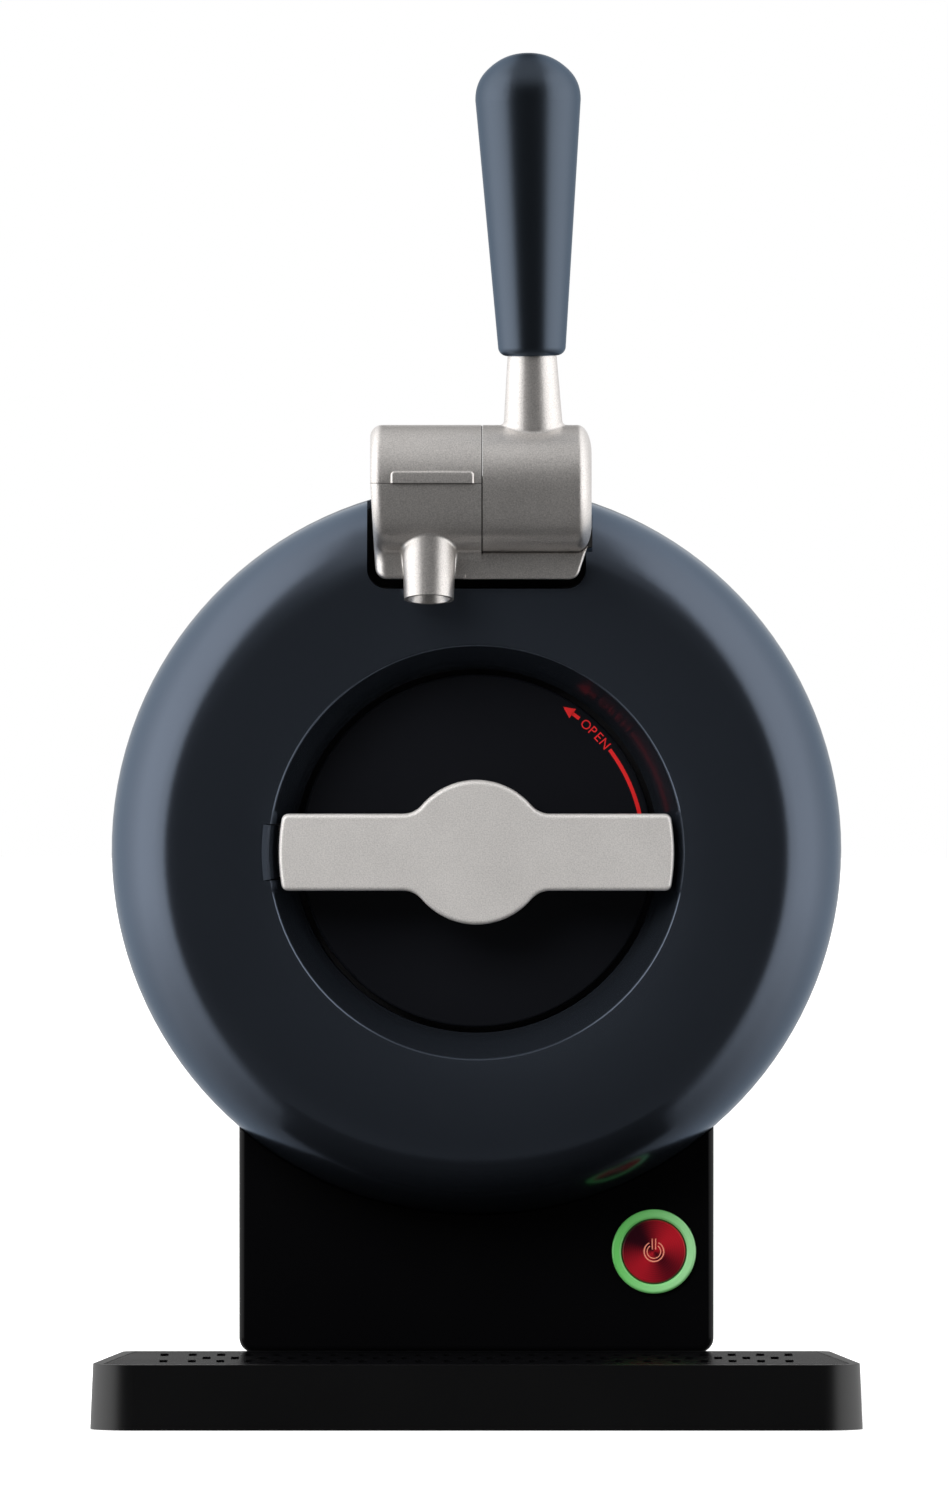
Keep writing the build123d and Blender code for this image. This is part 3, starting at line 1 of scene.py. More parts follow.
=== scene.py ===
# %% [markdown]
# # A small-keg beer dispenser
# The part stands on a worktop: a cooled drum lies on a pedestal, a lever tap sits over the drum's
# round door, and a drip tray stands in front. Its solids come ready made from the CAD model. Here
# they get their finishes, the small trim that is too fine for the CAD model, and a studio.

# %% Load the part
import json
import math

import bpy
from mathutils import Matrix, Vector


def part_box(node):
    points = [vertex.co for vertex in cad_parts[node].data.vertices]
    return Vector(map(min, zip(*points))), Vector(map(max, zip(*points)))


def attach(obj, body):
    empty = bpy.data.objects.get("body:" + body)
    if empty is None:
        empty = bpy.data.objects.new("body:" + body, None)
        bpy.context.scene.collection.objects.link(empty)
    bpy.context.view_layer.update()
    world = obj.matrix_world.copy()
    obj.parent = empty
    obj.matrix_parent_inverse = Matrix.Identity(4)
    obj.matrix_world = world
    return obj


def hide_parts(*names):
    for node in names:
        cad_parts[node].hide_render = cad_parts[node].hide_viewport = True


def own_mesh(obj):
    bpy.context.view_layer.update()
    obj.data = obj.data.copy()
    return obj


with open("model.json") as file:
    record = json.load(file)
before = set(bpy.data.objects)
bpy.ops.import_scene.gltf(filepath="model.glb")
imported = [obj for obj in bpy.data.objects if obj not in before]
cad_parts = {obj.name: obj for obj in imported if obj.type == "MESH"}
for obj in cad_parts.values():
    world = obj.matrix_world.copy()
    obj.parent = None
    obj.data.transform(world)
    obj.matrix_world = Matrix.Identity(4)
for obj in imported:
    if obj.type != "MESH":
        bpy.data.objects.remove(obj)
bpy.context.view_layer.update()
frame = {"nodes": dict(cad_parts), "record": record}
nodes = frame["nodes"]

# %% [markdown]
# ## Places
# Trim is placed from the solids that carry it. Small sizes are written in millimetres, times MM.

# %% Read places from the solids
MM = 0.001


def middle(name, axis):
    low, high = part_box(name)
    return (low[axis] + high[axis]) / 2


DRUM_Z = middle("front_shell", 2)
DISC_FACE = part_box("door_disc")[0][1]
DISC_R = (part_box("door_disc")[1][0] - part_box("door_disc")[0][0]) / 2
BUTTON_X, BUTTON_Z = middle("button_cap", 0), middle("button_cap", 2)
BUTTON_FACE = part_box("button_cap")[0][1]
HINGE_X, HINGE_Y = middle("hinge_pin", 0), middle("hinge_pin", 1)
print("drum axis at", round(DRUM_Z, 4), "door disc radius", round(DISC_R, 4))

# %% [markdown]
# ## Shader sums
# A finish varies over its surface: a little in colour, more in roughness. Written as nodes one by
# one, such sums are hard to read. The class below holds one output of a node, so that
# `0.4 + 0.1 * grain` adds the Math nodes by itself. Colours and directions don't survive a Math
# node, so they go through Mix and Vector Math instead.


# %% A socket that can be added and multiplied
MIX_SOCKETS, MIX_COLOUR_OUT = (0, 6, 7), 2    # a Mix node's factor and two colours; its result


class Wire:
    """One output socket in a material's node tree."""

    def __init__(self, tree, socket=None):
        self.tree, self.socket = tree, socket

    def node(self, kind, settings=None, inputs=None, out=0):
        """Add a node: its settings first, then values or wires for its sockets."""
        made = self.tree.nodes.new(kind)
        for key, value in (settings or {}).items():
            setattr(made, key, value)
        for key, value in (inputs or {}).items():
            self.plug(value, made.inputs[key])
        return Wire(self.tree, made.outputs[out])

    def plug(self, value, socket):
        """Put a wire or a plain value on an input socket."""
        if isinstance(value, Wire):
            self.tree.links.new(value.socket, socket)
        else:
            socket.default_value = value

    def maths(self, operation, *values):
        sockets = dict(enumerate(values))
        return self.node("ShaderNodeMath", {"operation": operation}, sockets)

    def __add__(self, other):
        return self.maths("ADD", self, other)

    def __sub__(self, other):
        return self.maths("SUBTRACT", self, other)

    def __rsub__(self, other):
        return self.maths("SUBTRACT", other, self)

    def __mul__(self, other):
        return self.maths("MULTIPLY", self, other)

    __radd__ = __add__
    __rmul__ = __mul__

    def clamp(self, low, high):
        return self.maths("MINIMUM", self.maths("MAXIMUM", self, low), high)

    def mix(self, dark, light):
        """A colour between two, with this wire as the share of the second."""
        share, first, second = MIX_SOCKETS
        return self.node("ShaderNodeMix", {"data_type": "RGBA"},
                         {share: self, first: dark, second: light}, out=MIX_COLOUR_OUT)


# %% [markdown]
# ## How a finish is made
# All finishes here use one Principled shader. What is the same all over, such as the coat or the
# metal's tint of reflection, is set straight on its socket. Grain comes from noise read in object
# coordinates: these are the part's own metres, so the grain has its true size on every piece.


# %% Start a finish
def grain(wire, size, detail=2.0, stretch=(1, 1, 1)):
    """Noise from 0 to 1 whose lumps are about this many metres across."""
    place = wire.node("ShaderNodeTexCoord", out="Object")
    place = wire.node("ShaderNodeVectorMath", {"operation": "MULTIPLY"}, {0: place, 1: stretch})
    return wire.node("ShaderNodeTexNoise", {"noise_dimensions": "3D"},
                     {"Vector": place, "Scale": 1 / size, "Detail": detail}, out="Fac")


def start_finish(name):
    """A new material and its Principled shader, ready to be fed."""
    finish = bpy.data.materials.new(name)
    finish.use_nodes = True
    tree = finish.node_tree
    return finish, tree.nodes["Principled BSDF"], Wire(tree)


def feed(wire, shader, **inputs):
    """Put values or wires on the shader's sockets, written as base_color or coat_weight."""
    for key, value in inputs.items():
        socket = shader.inputs[" ".join(w.upper() if w == "ior" else w.capitalize()
                                        for w in key.split("_"))]
        wire.plug(value, socket)


def relief(wire, height, depth, strength=1.0):
    """A Bump node's normal: height from 0 to 1 stands for this many metres."""
    return wire.node("ShaderNodeBump", {}, {"Height": height, "Distance": depth,
                                            "Strength": strength})


# %% [markdown]
# ## Lacquered navy
# The drum's front and the lever's grip are moulded with a dark blue-grey pearl lacquer. Fine
# flakes in it mirror like a dark metal, so a bright wall shows blue in it, while what faces a dark
# room is almost black. The grip is darker and a little softer than the drum.


# %% Navy lacquer
def navy_lacquer(name, dark, light, rough, flakes):
    finish, shader, wire = start_finish(name)
    cloud = grain(wire, 60 * MM, 3)
    peel = grain(wire, 4 * MM, 1)
    colour = cloud.mix((*dark, 1), (*light, 1))
    feed(wire, shader, base_color=colour, metallic=flakes, roughness=rough + 0.05 * cloud,
         specular_tint=(0.60, 0.68, 0.78, 1), normal=relief(wire, peel, 0.02 * MM))
    return finish


# %% [markdown]
# ## Black mouldings
# Three blacks are moulded smooth: a deep one on the pedestal, which mirrors only at a grazing
# angle, a softer one on the tray, and a faintly blue one on the door's disc. The rear of the drum
# and the pocket behind the tap are a fine-grained satin, and the feet and seals are matt rubber.


# %% Black plastics and rubber
def smooth_black(name, dark, light, rough, ior):
    finish, shader, wire = start_finish(name)
    cloud = grain(wire, 50 * MM, 2)
    peel = grain(wire, 5 * MM, 1)
    colour = cloud.mix((*dark, 1), (*light, 1))
    feed(wire, shader, base_color=colour, roughness=rough + 0.05 * cloud, ior=ior,
         normal=relief(wire, peel, 0.015 * MM))
    return finish


def black_satin():
    finish, shader, wire = start_finish("black_satin")
    pits = grain(wire, 0.6 * MM, 2)
    cloud = grain(wire, 40 * MM, 2)
    colour = cloud.mix((0.0022, 0.0022, 0.0025, 1), (0.0040, 0.0040, 0.0043, 1))
    feed(wire, shader, base_color=colour, roughness=0.42 + 0.12 * pits,
         normal=relief(wire, pits, 0.06 * MM))
    return finish


def rubber():
    finish, shader, wire = start_finish("black_rubber")
    dust = grain(wire, 2 * MM, 4)
    colour = dust.mix((0.012, 0.012, 0.012, 1), (0.024, 0.023, 0.022, 1))
    feed(wire, shader, base_color=colour, roughness=0.75 + 0.15 * dust,
         normal=relief(wire, dust, 0.08 * MM))
    return finish


# %% [markdown]
# ## Blasted nickel
# The tap and the door's bar are die castings, blasted with fine beads and plated with nickel. Up
# close the surface sparkles in tiny facets; from afar it is a soft, slightly warm grey. Fine noise
# drives both the relief and the roughness, and a larger one the faint unevenness of the plating.
# The bar is paler than the tap and mirrors less.


# %% Blasted nickel
def blasted_nickel(name, dark, light, rough, metallic, bead):
    finish, shader, wire = start_finish(name)
    beads = grain(wire, bead, 2)
    cloud = grain(wire, 20 * MM, 2)
    shade = (1.8 * beads + 0.5 * cloud - 0.65).clamp(0, 1)
    colour = shade.mix((*dark, 1), (*light, 1))
    feed(wire, shader, base_color=colour, metallic=metallic, roughness=rough + 0.12 * beads,
         normal=relief(wire, beads, 0.14 * bead, 0.8))
    return finish


# %% [markdown]
# ## Machined and drawn metals
# Pins, screws, fins and the pump's can are plain working metals that show only when something is
# opened. Each is one recipe with its own colour, roughness and direction of drawing lines.


# %% Working metals
def drawn_metal(name, dark, light, rough, lines):
    finish, shader, wire = start_finish(name)
    streaks = grain(wire, 1.2 * MM, 3, stretch=lines)
    colour = streaks.mix((*dark, 1), (*light, 1))
    feed(wire, shader, base_color=colour, metallic=1.0, roughness=rough + 0.12 * streaks,
         normal=relief(wire, streaks, 0.04 * MM))
    return finish


# %% [markdown]
# ## Plain plastics, foam and board
# The parts inside are unpainted. They share one recipe: a colour with a little cloud in it, a
# grain of the right size and a roughness. Foam has large open grain, a circuit board almost none.


# %% Unpainted materials
def plain_plastic(name, dark, light, rough, size, depth):
    finish, shader, wire = start_finish(name)
    lumps = grain(wire, size, 3)
    colour = lumps.mix((*dark, 1), (*light, 1))
    feed(wire, shader, base_color=colour, roughness=rough + 0.1 * lumps,
         normal=relief(wire, lumps, depth))
    return finish


# %% [markdown]
# ## Glowing ring and red cap
# A clear green ring round the power button is lit from behind. Its light is strongest in the
# middle of the ring and dies towards both edges. On top of that, its colour is painted lighter
# towards the right as a painted highlight. The cap inside it is red anodised metal, turned on a
# lathe, so it has very fine circles round its centre. The cap's colour also carries a painted
# highlight: two bright and two dark lobes round its centre, and a lighter right side.


# %% Distance from the button's axis
RING_MIDDLE = 12.1 * MM        # radius at the middle of the ring's width
TURNING = 9000.0               # radians of the turning marks' wave per metre of radius
CENTRE_SOFTNESS = 1e-7         # square metres; keeps the division finite on the axis


def from_button(wire):
    """Distance from the button's axis in metres, and its parts along X and Z."""
    place = wire.node("ShaderNodeTexCoord", out="Object")
    x = wire.node("ShaderNodeSeparateXYZ", {}, {0: place}, out="X") - BUTTON_X
    z = wire.node("ShaderNodeSeparateXYZ", {}, {0: place}, out="Z") - BUTTON_Z
    return wire.maths("SQRT", x * x + z * z), x, z


def lit_green():
    finish, shader, wire = start_finish("lit_green")
    r, x, z = from_button(wire)
    off = wire.maths("ABSOLUTE", r - RING_MIDDLE)
    glow = (1.15 - 330.0 * off).clamp(0, 1)
    # Painted highlight: the ring's colour is lighter towards the right and a little towards the
    # bottom.
    clear = (0.45 + 38.0 * x - 8.0 * z).clamp(0, 1)
    lit = clear.mix((0.10, 0.46, 0.09, 1), (0.36, 0.66, 0.36, 1))
    colour = glow.mix((0.05, 0.26, 0.05, 1), lit)
    feed(wire, shader, base_color=colour, roughness=0.22 + 0.05 * glow,
         emission_color=glow.mix((0.03, 0.17, 0.025, 1), (0.12, 0.40, 0.11, 1)),
         emission_strength=0.35, coat_weight=0.6, coat_roughness=0.08)
    return finish


def red_anodised():
    finish, shader, wire = start_finish("red_anodised")
    r, x, z = from_button(wire)
    # Painted highlight: the cap's colour is lighter towards the upper right and lower left, darker
    # towards the upper left and lower right, and lighter towards the right; the turning marks are
    # its real fine circles.
    painted_highlight_lobes = wire.maths("DIVIDE", 2.0 * x * z, r * r + CENTRE_SOFTNESS)
    turning = wire.maths("SINE", TURNING * r)
    painted_sheen_and_turning = (0.45 + 0.42 * painted_highlight_lobes + 20.0 * x + 0.05 * turning).clamp(0, 1)
    colour = painted_sheen_and_turning.mix((0.040, 0.001, 0.008, 1), (0.80, 0.016, 0.034, 1))
    feed(wire, shader, base_color=colour, metallic=0.35, roughness=0.34 + 0.04 * turning,
         coat_weight=0.5, coat_roughness=0.1, normal=relief(wire, turning, 0.004 * MM))
    return finish


# %% [markdown]
# ## Which piece has which finish
# The record names a material slot for every solid. Here each slot's finish is made once, so that
# all the solids that use it share one material. The chamber's liner is the only solid of its slot
# and has a finish of its own, so its slot isn't in this list.

# %% Finishes by slot
STEEL = ((0.42, 0.42, 0.43), (0.60, 0.60, 0.60))
finishes = {
    "navy_gloss": navy_lacquer("navy_lacquer", (0.075, 0.090, 0.117), (0.091, 0.109, 0.140),
                               0.17, 0.88),
    "black_gloss": smooth_black("deep_black", (0.0016, 0.0016, 0.0019),
                                (0.0026, 0.0026, 0.0030), 0.17, 1.2),
    "black_satin": black_satin(),
    "satin_nickel": blasted_nickel("blasted_nickel", (0.52, 0.497, 0.478), (0.84, 0.805, 0.778),
                                   0.28, 0.86, 0.45 * MM),
    "steel_pin": drawn_metal("ground_steel", *STEEL, 0.22, (1, 1, 8)),
    "screw_steel": drawn_metal("screw_steel", (0.20, 0.20, 0.21), (0.34, 0.34, 0.34), 0.38,
                               (3, 3, 3)),
    "white_nylon": plain_plastic("white_nylon", (0.62, 0.61, 0.57), (0.74, 0.73, 0.69), 0.42,
                                 3 * MM, 0.03 * MM),
    "seal_rubber": rubber(),
    "foam": plain_plastic("moulded_foam", (0.58, 0.52, 0.36), (0.74, 0.69, 0.52), 0.85, 2 * MM,
                          0.5 * MM),
    "ceramic": plain_plastic("white_ceramic", (0.70, 0.70, 0.68), (0.80, 0.80, 0.78), 0.5,
                             1 * MM, 0.02 * MM),
    "cold_aluminium": drawn_metal("milled_aluminium", (0.58, 0.59, 0.60), (0.72, 0.73, 0.74),
                                  0.30, (6, 1, 1)),
    "fin_aluminium": drawn_metal("extruded_aluminium", (0.52, 0.53, 0.54), (0.68, 0.69, 0.70),
                                 0.34, (8, 8, 1)),
    "silicone": plain_plastic("grey_silicone", (0.50, 0.52, 0.52), (0.62, 0.64, 0.64), 0.45,
                              4 * MM, 0.03 * MM),
    "motor_steel": drawn_metal("plated_can", (0.38, 0.38, 0.39), (0.54, 0.54, 0.54), 0.26,
                               (8, 1, 8)),
    "board_green": plain_plastic("solder_mask", (0.010, 0.090, 0.035), (0.018, 0.130, 0.052),
                                 0.35, 1.5 * MM, 0.03 * MM),
    "supply_case": plain_plastic("supply_case", (0.022, 0.022, 0.024), (0.036, 0.036, 0.038),
                                 0.5, 0.8 * MM, 0.06 * MM),
    "cable": rubber(),
    "glow_green": lit_green(),
    "red_metal": red_anodised(),
    "spring_steel": drawn_metal("spring_wire", *STEEL, 0.25, (1, 6, 1)),
}
print("finishes by slot:", len(finishes))

# %% [markdown]
# Six pieces differ from the rest of their slot. The grip is darker than the drum, the tray is
# softer than the pedestal, and the disc is faintly blue. The bar is paler than the tap. The door's
# plug and the liner of the chamber behind it are near-black as painted shade, so that the gap
# round the disc shows nothing light.

# %% Finishes of single pieces
own_finish = {
    "lever_grip": navy_lacquer("grip_lacquer", (0.071, 0.088, 0.114), (0.083, 0.102, 0.130),
                               0.28, 0.97),
    "tray_body": smooth_black("tray_black", (0.0016, 0.0016, 0.0018), (0.0028, 0.0028, 0.0031),
                              0.33, 1.5),
    # Painted shade: the plug is near-black so that the gap round the disc looks shaded.
    "door_plug": finishes["black_satin"],
    "door_disc": smooth_black("disc_black", (0.0050, 0.0054, 0.0072), (0.0068, 0.0074, 0.0094),
                              0.22, 1.3),
    "handle_bar": blasted_nickel("bar_nickel", (0.64, 0.616, 0.596), (0.91, 0.878, 0.85), 0.32,
                                 0.46, 0.45 * MM),
    # Painted shade: the liner is near-black so that the gap round the door's disc looks shaded.
    "chamber_liner": plain_plastic("liner_painted_shade", (0.020, 0.020, 0.022), (0.032, 0.032, 0.034),
                                   0.35, 1 * MM, 0.03 * MM),
}
slot_of = {s["node"]: s["material_slot"] for s in frame["record"]["subparts"]}
for name, solid in nodes.items():
    solid.data.materials.clear()
    solid.data.materials.append(own_finish.get(name) or finishes[slot_of[name]])
print("pieces with a finish of their own:", len(own_finish))

# %% [markdown]
# ## Printed arc on the door
# A thin red arc with an arrowhead shows which way the bar turns. It is pad-printed, so it has an
# edge but hardly any thickness. Built as flat mesh strips, 0.06 mm proud of the disc, it stays
# crisp however close the camera comes. The word OPEN stands in its gap.


# %% Strips and shapes on a front face
PRINT_T, PRINT_SINK = 0.06 * MM, 0.02 * MM    # how far a print stands proud, and reaches in


def add_piece(name, verts, faces, finish, body):
    """A mesh with a finish, riding on one of the part's bodies."""
    mesh = bpy.data.meshes.new(name)
    mesh.from_pydata(verts, [], faces)
    mesh.validate()
    mesh.materials.append(finish)
    piece = bpy.data.objects.new(name, mesh)
    bpy.context.collection.objects.link(piece)
    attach(piece, body)
    print(name, "rides on", body, "with", len(mesh.polygons), "faces")


def print_on(name, outlines, face, cx, cz, body, finish):
    """A thin sheet for each outline of (x, z) points, standing on a face that looks along -Y."""
    verts, faces = [], []
    for outline in outlines:
        base, n = len(verts), len(outline)
        for y in (face - PRINT_T, face + PRINT_SINK):
            verts += [(cx + x, y, cz + z) for x, z in outline]
        faces.append([base + i for i in range(n)])
        faces += [[base + i, base + n + i, base + n + (i + 1) % n, base + (i + 1) % n]
                  for i in range(n)]
    add_piece(name, verts, faces, finish, body)


def on_circle(r, degrees):
    return r * math.cos(math.radians(degrees)), r * math.sin(math.radians(degrees))


def arc_strip(r, width, start, end, steps=40):
    """Outlines of the short quads that make up a curved strip."""
    quads = []
    for i in range(steps):
        a = start + (end - start) * i / steps
        b = start + (end - start) * (i + 1) / steps
        quads.append([on_circle(r - width / 2, a), on_circle(r + width / 2, a),
                      on_circle(r + width / 2, b), on_circle(r - width / 2, b)])
    return quads


# %% The arc and its arrowhead
red_print = plain_plastic("red_print", (0.62, 0.012, 0.014), (0.72, 0.020, 0.020), 0.4, 1 * MM,
                          0.01 * MM)
ARC_R = DISC_R - 3.1 * MM
shapes = arc_strip(ARC_R, 1.25 * MM, start=11.5, end=37.2)
shapes += arc_strip(ARC_R + 0.1 * MM, 1.15 * MM, start=52.1, end=55.2, steps=6)
shapes.append([on_circle(ARC_R - 1.75 * MM, 55.0), on_circle(ARC_R + 2.0 * MM, 54.9),
               on_circle(ARC_R + 0.3 * MM, 58.9)])
print_on("open_arrow", shapes, DISC_FACE, 0.0, DRUM_Z, "door", red_print)


# %% The word between them
def letter_shape(char, height):
    """Outline faces of one letter, centred, as (points, faces) scaled to a cap height."""
    curve = bpy.data.curves.new("letter", "FONT")
    curve.body = char
    text = bpy.data.objects.new("letter", curve)
    bpy.context.collection.objects.link(text)
    mesh = bpy.data.meshes.new_from_object(text)
    bpy.data.objects.remove(text)
    xs, ys = [v.co.x for v in mesh.vertices], [v.co.y for v in mesh.vertices]
    mx, my = (min(xs) + max(xs)) / 2, (min(ys) + max(ys)) / 2
    k = height / (max(ys) - min(ys))
    points = [((v.co.x - mx) * k, (v.co.y - my) * k) for v in mesh.vertices]
    return points, [list(face.vertices) for face in mesh.polygons]


def word_on_arc(name, letters, r, height, finish):
    """Letters on a circle round the drum's axis, their heads pointing outwards."""
    verts, faces = [], []
    for char, degrees in letters:
        out = Vector(on_circle(1.0, degrees))
        right = Vector((out.y, -out.x))
        points, shape = letter_shape(char, height)
        base = len(verts)
        for px, py in points:
            at = out * (r + py) + right * px
            verts.append((at.x, DISC_FACE - PRINT_T, DRUM_Z + at.y))
        faces += [[base + i for i in face] for face in shape]
    add_piece(name, verts, faces, finish, "door")


LETTERS = (("O", 49.0), ("P", 45.8), ("E", 42.9), ("N", 39.8))    # each with its degrees
word_on_arc("open_word", LETTERS, ARC_R, height=2.95 * MM, finish=red_print)

# %% [markdown]
# ## Power symbol
# The mark on the cap is engraved and bright where the red layer is cut through: an open circle
# with a short bar in its gap, the usual sign for on and off. Each line of it is engraved as a
# double line, so the circle is two strips and the bar is two bars.

# %% Power symbol
cut_mark = plain_plastic("cut_mark", (0.90, 0.26, 0.17), (1.0, 0.36, 0.25), 0.35, 0.8 * MM,
                         0.01 * MM)
OUTER_R, INNER_R, LINE = 3.2 * MM, 2.2 * MM, 0.4 * MM
BAR_LOW, BAR_HIGH = 0.7 * MM, 4.2 * MM
mark = arc_strip(OUTER_R, 1.05 * LINE, start=118, end=422, steps=48)
mark += arc_strip(INNER_R, 0.9 * LINE, start=125, end=415)
for x in (-0.55 * MM, 0.55 * MM):
    left, right = x - LINE / 2, x + LINE / 2
    mark.append([(left, BAR_LOW), (right, BAR_LOW), (right, BAR_HIGH), (left, BAR_HIGH)])
print_on("power_mark", mark, BUTTON_FACE, BUTTON_X, BUTTON_Z, "button", cut_mark)

# %% [markdown]
# ## Cover over the hinge's slot
# The door hangs on an arm that comes through a slot in the recess wall. A small navy cover on the
# arm closes the slot while the door is shut. It repeats the edge of the recess, and it is short
# enough towards the hinge to swing out without touching the shell. Its outline is drawn to this
# recess, so it changes by hand if the recess does.


# %% The cover and its rib
# Radius from the drum's axis and place along Y, round the cover's edge: mouth first, then back.
COVER_EDGE = [(69.7, -136.5), (68.1, -135.9), (67.3, -135.1), (66.9, -134.0),
              (64.7, -129.0), (67.2, -129.0), (67.6, -132.0), (68.2, -134.5)]
COVER_HALF, COVER_STEPS = 7.5, 12      # degrees to each side of the hinge's level
RIB_X, RIB_Y, RIB_HALF = (-66.8, -65.2), (-129.5, -111.8), 4.0
BOX_FACES = ((0, 1, 3, 2), (4, 6, 7, 5), (0, 4, 5, 1), (2, 3, 7, 6), (0, 2, 6, 4), (1, 5, 7, 3))


def add_slot_cover():
    n = len(COVER_EDGE)
    verts = []
    for i in range(COVER_STEPS + 1):
        out = on_circle(MM, 180 + COVER_HALF - 2 * COVER_HALF * i / COVER_STEPS)
        verts += [(r * out[0], y * MM, DRUM_Z + r * out[1]) for r, y in COVER_EDGE]
    last = COVER_STEPS * n
    faces = [list(range(n)), list(range(last + n - 1, last - 1, -1))]
    for i in range(COVER_STEPS):
        for j in range(n):
            k = (j + 1) % n
            faces.append([i * n + j, (i + 1) * n + j, (i + 1) * n + k, i * n + k])
    base = len(verts)
    verts += [(x * MM, y * MM, DRUM_Z + z * MM)
              for x in RIB_X for y in RIB_Y for z in (-RIB_HALF, RIB_HALF)]
    faces += [[base + i for i in face] for face in BOX_FACES]
    add_piece("slot_cover", verts, faces, finishes["navy_gloss"], "door")
    reach = min(math.hypot(-r * MM - HINGE_X, y * MM - HINGE_Y) for r, y in COVER_EDGE)
    print("slot cover keeps", round(reach / MM, 1), "mm or more from the hinge")


add_slot_cover()

# %% [markdown]
# ## Painted shadow in the tap's seam
# Between the lid and the turning drum of the lever runs a seam 0.3 mm wide. A black sheet that
# turns with the lever fills it as painted shadow, so the seam shows dark and no light comes
# through.


# %% The painted shadow in the seam
SEAM, SHIM_PLAY, SHIM_DROP = 0.3 * MM, 0.01 * MM, 0.25 * MM
SHIM_SIDES = 72


def add_seam_shadow():
    y, z = middle("tap_axle", 1), middle("tap_axle", 2)
    left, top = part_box("tap_lid")[1][0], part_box("tap_lid")[1][2]
    r = top - z - SHIM_DROP
    ring = [(y + a, z + b)
            for a, b in (on_circle(r, i * 360 / SHIM_SIDES) for i in range(SHIM_SIDES))]
    verts = [(x, a, b) for x in (left + SHIM_PLAY, left + SEAM - SHIM_PLAY) for a, b in ring]
    faces = [list(range(SHIM_SIDES)), list(range(2 * SHIM_SIDES - 1, SHIM_SIDES - 1, -1))]
    for i in range(SHIM_SIDES):
        k = (i + 1) % SHIM_SIDES
        faces.append([i, i + SHIM_SIDES, k + SHIM_SIDES, k])
    add_piece("seam_shadow_sheet", verts, faces, finishes["black_satin"], "lever")
    print("shim radius", round(r, 4), "seam from", round(left, 5))


add_seam_shadow()

# %% [markdown]
# ## Return spring of the button
# The spring behind the cap gets shorter as the cap goes in, and a stiff solid can't. A copy of
# its mesh, with mesh data of its own, takes its place and rides on the main body.


def add_soft_spring():
    still = nodes["button_spring"]
    spring = bpy.data.objects.new("return_spring", still.data.copy())
    spring.matrix_world = still.matrix_world
    bpy.context.collection.objects.link(spring)
    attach(spring, "main")
    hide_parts("button_spring")
    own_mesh(spring)


add_soft_spring()

# %% [markdown]
# ## Studio
# The part stands on a pale floor in front of a white background, both white to the camera. As a
# light the world is a room with a bright wall on each side and a dark end behind the camera, so
# flat fronts stay dark and rounded edges mirror the walls. Two soft lamps that no mirror sees
# bring matt surfaces to a plain level, one from above and one from the front.


# %% The floor
FLOOR_HALF = 6.0


def white_floor():
    finish, shader, wire = start_finish("pale_floor")
    path = wire.node("ShaderNodeLightPath", out="Is Camera Ray")
    cloud = grain(wire, 300 * MM, 2)
    pale = cloud.mix((0.80, 0.80, 0.80, 1), (0.83, 0.83, 0.83, 1))
    feed(wire, shader, base_color=path.mix((0.2, 0.2, 0.2, 1), pale),
         roughness=0.9, emission_color=path.mix((0, 0, 0, 1), (0.62, 0.62, 0.62, 1)),
         emission_strength=1.0)
    return finish


def add_floor():
    corners = [(-FLOOR_HALF, -FLOOR_HALF, 0), (FLOOR_HALF, -FLOOR_HALF, 0),
               (FLOOR_HALF, FLOOR_HALF, 0), (-FLOOR_HALF, FLOOR_HALF, 0)]
    mesh = bpy.data.meshes.new("floor")
    mesh.from_pydata(corners, [], [(0, 1, 2, 3)])
    mesh.materials.append(white_floor())
    floor = bpy.data.objects.new("floor", mesh)
    bpy.context.collection.objects.link(floor)
    floor.visible_glossy = False
    print("floor", 2 * FLOOR_HALF, "m square")


add_floor()

# %% [markdown]
# The world's light depends only on the direction that a ray looks in: x to the right, y to the
# back, z up. A wall stands where a ray looks well to the side. It fades towards the back, and
# above and below. The sky is soft and starts well above the horizon, the ground is faint, and the
# room behind the camera is almost dark. The white background is for the camera, for rays through
# clear pieces, and for mirrored rays that look straight back and a little up.


# %% The world
WALL_LIGHT, FRONT_LIGHT = 2.7, 0.02


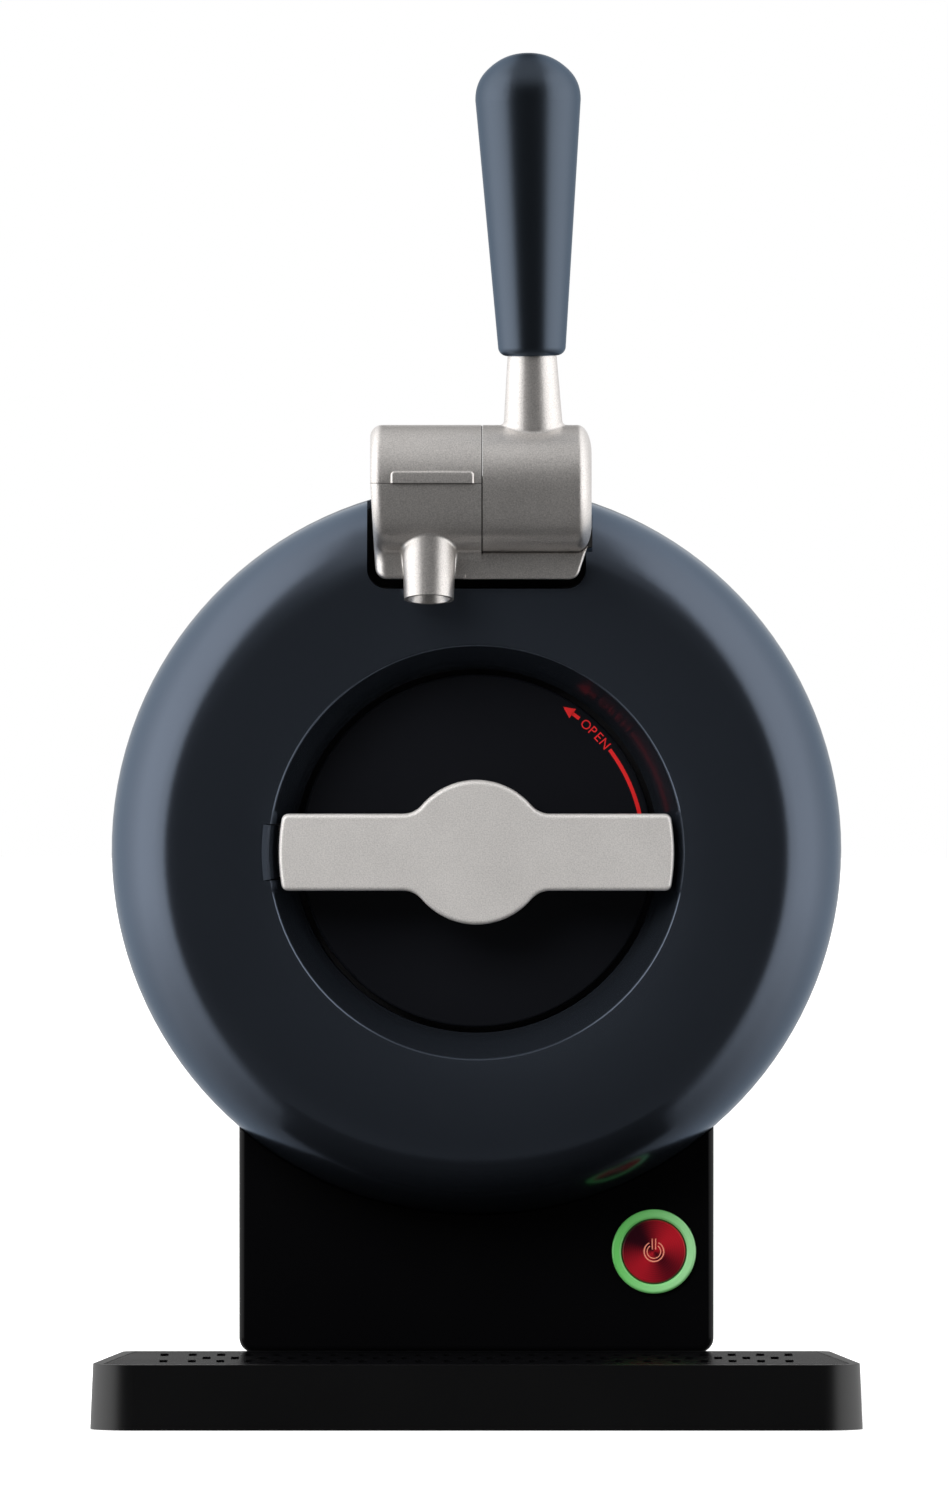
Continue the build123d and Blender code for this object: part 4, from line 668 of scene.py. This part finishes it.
def add_world():
    """White to the camera; as a light, two bright walls and a dark end."""
    world = bpy.data.worlds.new("studio")
    bpy.context.scene.world = world
    world.use_nodes = True
    tree = world.node_tree
    wire = Wire(tree)
    seen, through, mirrored = (wire.node("ShaderNodeLightPath", out=f"Is {kind} Ray")
                               for kind in ("Camera", "Transmission", "Glossy"))
    way = wire.node("ShaderNodeTexCoord", out="Generated")
    x, y, z = (wire.node("ShaderNodeSeparateXYZ", {}, {0: way}, out=axis) for axis in "XYZ")
    side = wire.maths("DIVIDE", wire.maths("ABSOLUTE", x), 1.05 - y)
    edge = wire.node("ShaderNodeMapRange", {"interpolation_type": "SMOOTHSTEP"},
                     {"Value": side, "From Min": 0.31, "From Max": 0.48})
    wall = edge * (0.5 + (0.71 * side - 0.29).clamp(0, 0.5))
    depth = (0.80 - 0.55 * y).clamp(0, 1)
    high = (7.46 - 7.69 * z).clamp(0, 1)
    low = (1.23 + 1.33 * z).clamp(0, 1)
    sky = 0.42 * (2.2 * z - 1.1).clamp(0, 1)
    ground = 0.09 * (-1.4 * z).clamp(0, 1)
    walls = WALL_LIGHT * (wall * depth * (high * low) * (1.0 - 0.06 * x))
    front = FRONT_LIGHT * (1.05 + 1.2 * z).clamp(0.5, 1.5)
    light = walls + sky + ground + front
    behind = wire.node("ShaderNodeMapRange", {"interpolation_type": "SMOOTHSTEP"},
                       {"Value": y, "From Min": 0.90, "From Max": 1.0})
    raised = (10.0 * z - 1.0).clamp(0, 1)
    white = (seen + through + mirrored * behind * raised).clamp(0, 1)
    strength = light + white * (1.0 - light)
    tree.links.new(strength.socket, tree.nodes["Background"].inputs["Strength"])
    tree.nodes["Background"].inputs["Color"].default_value = (1, 1, 1, 1)
    print("world: walls at", WALL_LIGHT, "and a front at", FRONT_LIGHT)


add_world()


# %% Softboxes
def softbox(name, place, aim, width, height, power):
    lamp = bpy.data.lights.new(name, "AREA")
    lamp.shape = "RECTANGLE"
    lamp.size, lamp.size_y, lamp.energy = width, height, power
    box = bpy.data.objects.new(name, lamp)
    bpy.context.collection.objects.link(box)
    box.location = place
    direction = [a - p for a, p in zip(aim, place)]
    box.rotation_euler = Vector(direction).to_track_quat("-Z", "Y").to_euler()
    box.visible_glossy = False
    print(name, power, "W")


AIM = (0.0, -0.05, 0.24)
softbox("top_box", (-0.2, -0.1, 1.6), AIM, width=1.4, height=0.9, power=12)
softbox("front_box", (-0.9, -1.6, 1.4), AIM, width=1.2, height=1.2, power=44)

# %% [markdown]
# ## Camera
# The camera stands straight in front and a little above, with a long lens that keeps the sides
# nearly parallel. The lens follows from the distance and from the height that has to be in frame.

# %% Camera
FRAME_H = 483.6 * MM           # height of the frame at the tray's front
DISTANCE, RISE = 14.0, 0.381   # from there to the camera, and how much higher it stands
SENSOR_H = 36                  # mm
CENTRE = (-0.8 * MM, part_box("tray_body")[0][1], 219.8 * MM)
lens = bpy.data.cameras.new("camera")
lens.sensor_fit, lens.sensor_height = "VERTICAL", SENSOR_H
lens.clip_end = 100
camera = bpy.data.objects.new("camera", lens)
bpy.context.collection.objects.link(camera)
run = math.sqrt(DISTANCE ** 2 - RISE ** 2)
lens.lens = SENSOR_H * DISTANCE / FRAME_H
camera.location = (CENTRE[0], CENTRE[1] - run, CENTRE[2] + RISE)
camera.rotation_euler = (math.pi / 2 - math.atan2(RISE, run), 0, 0)
bpy.context.scene.camera = camera
bpy.context.scene.view_settings.view_transform = "Standard"
print("lens", round(lens.lens), "mm")
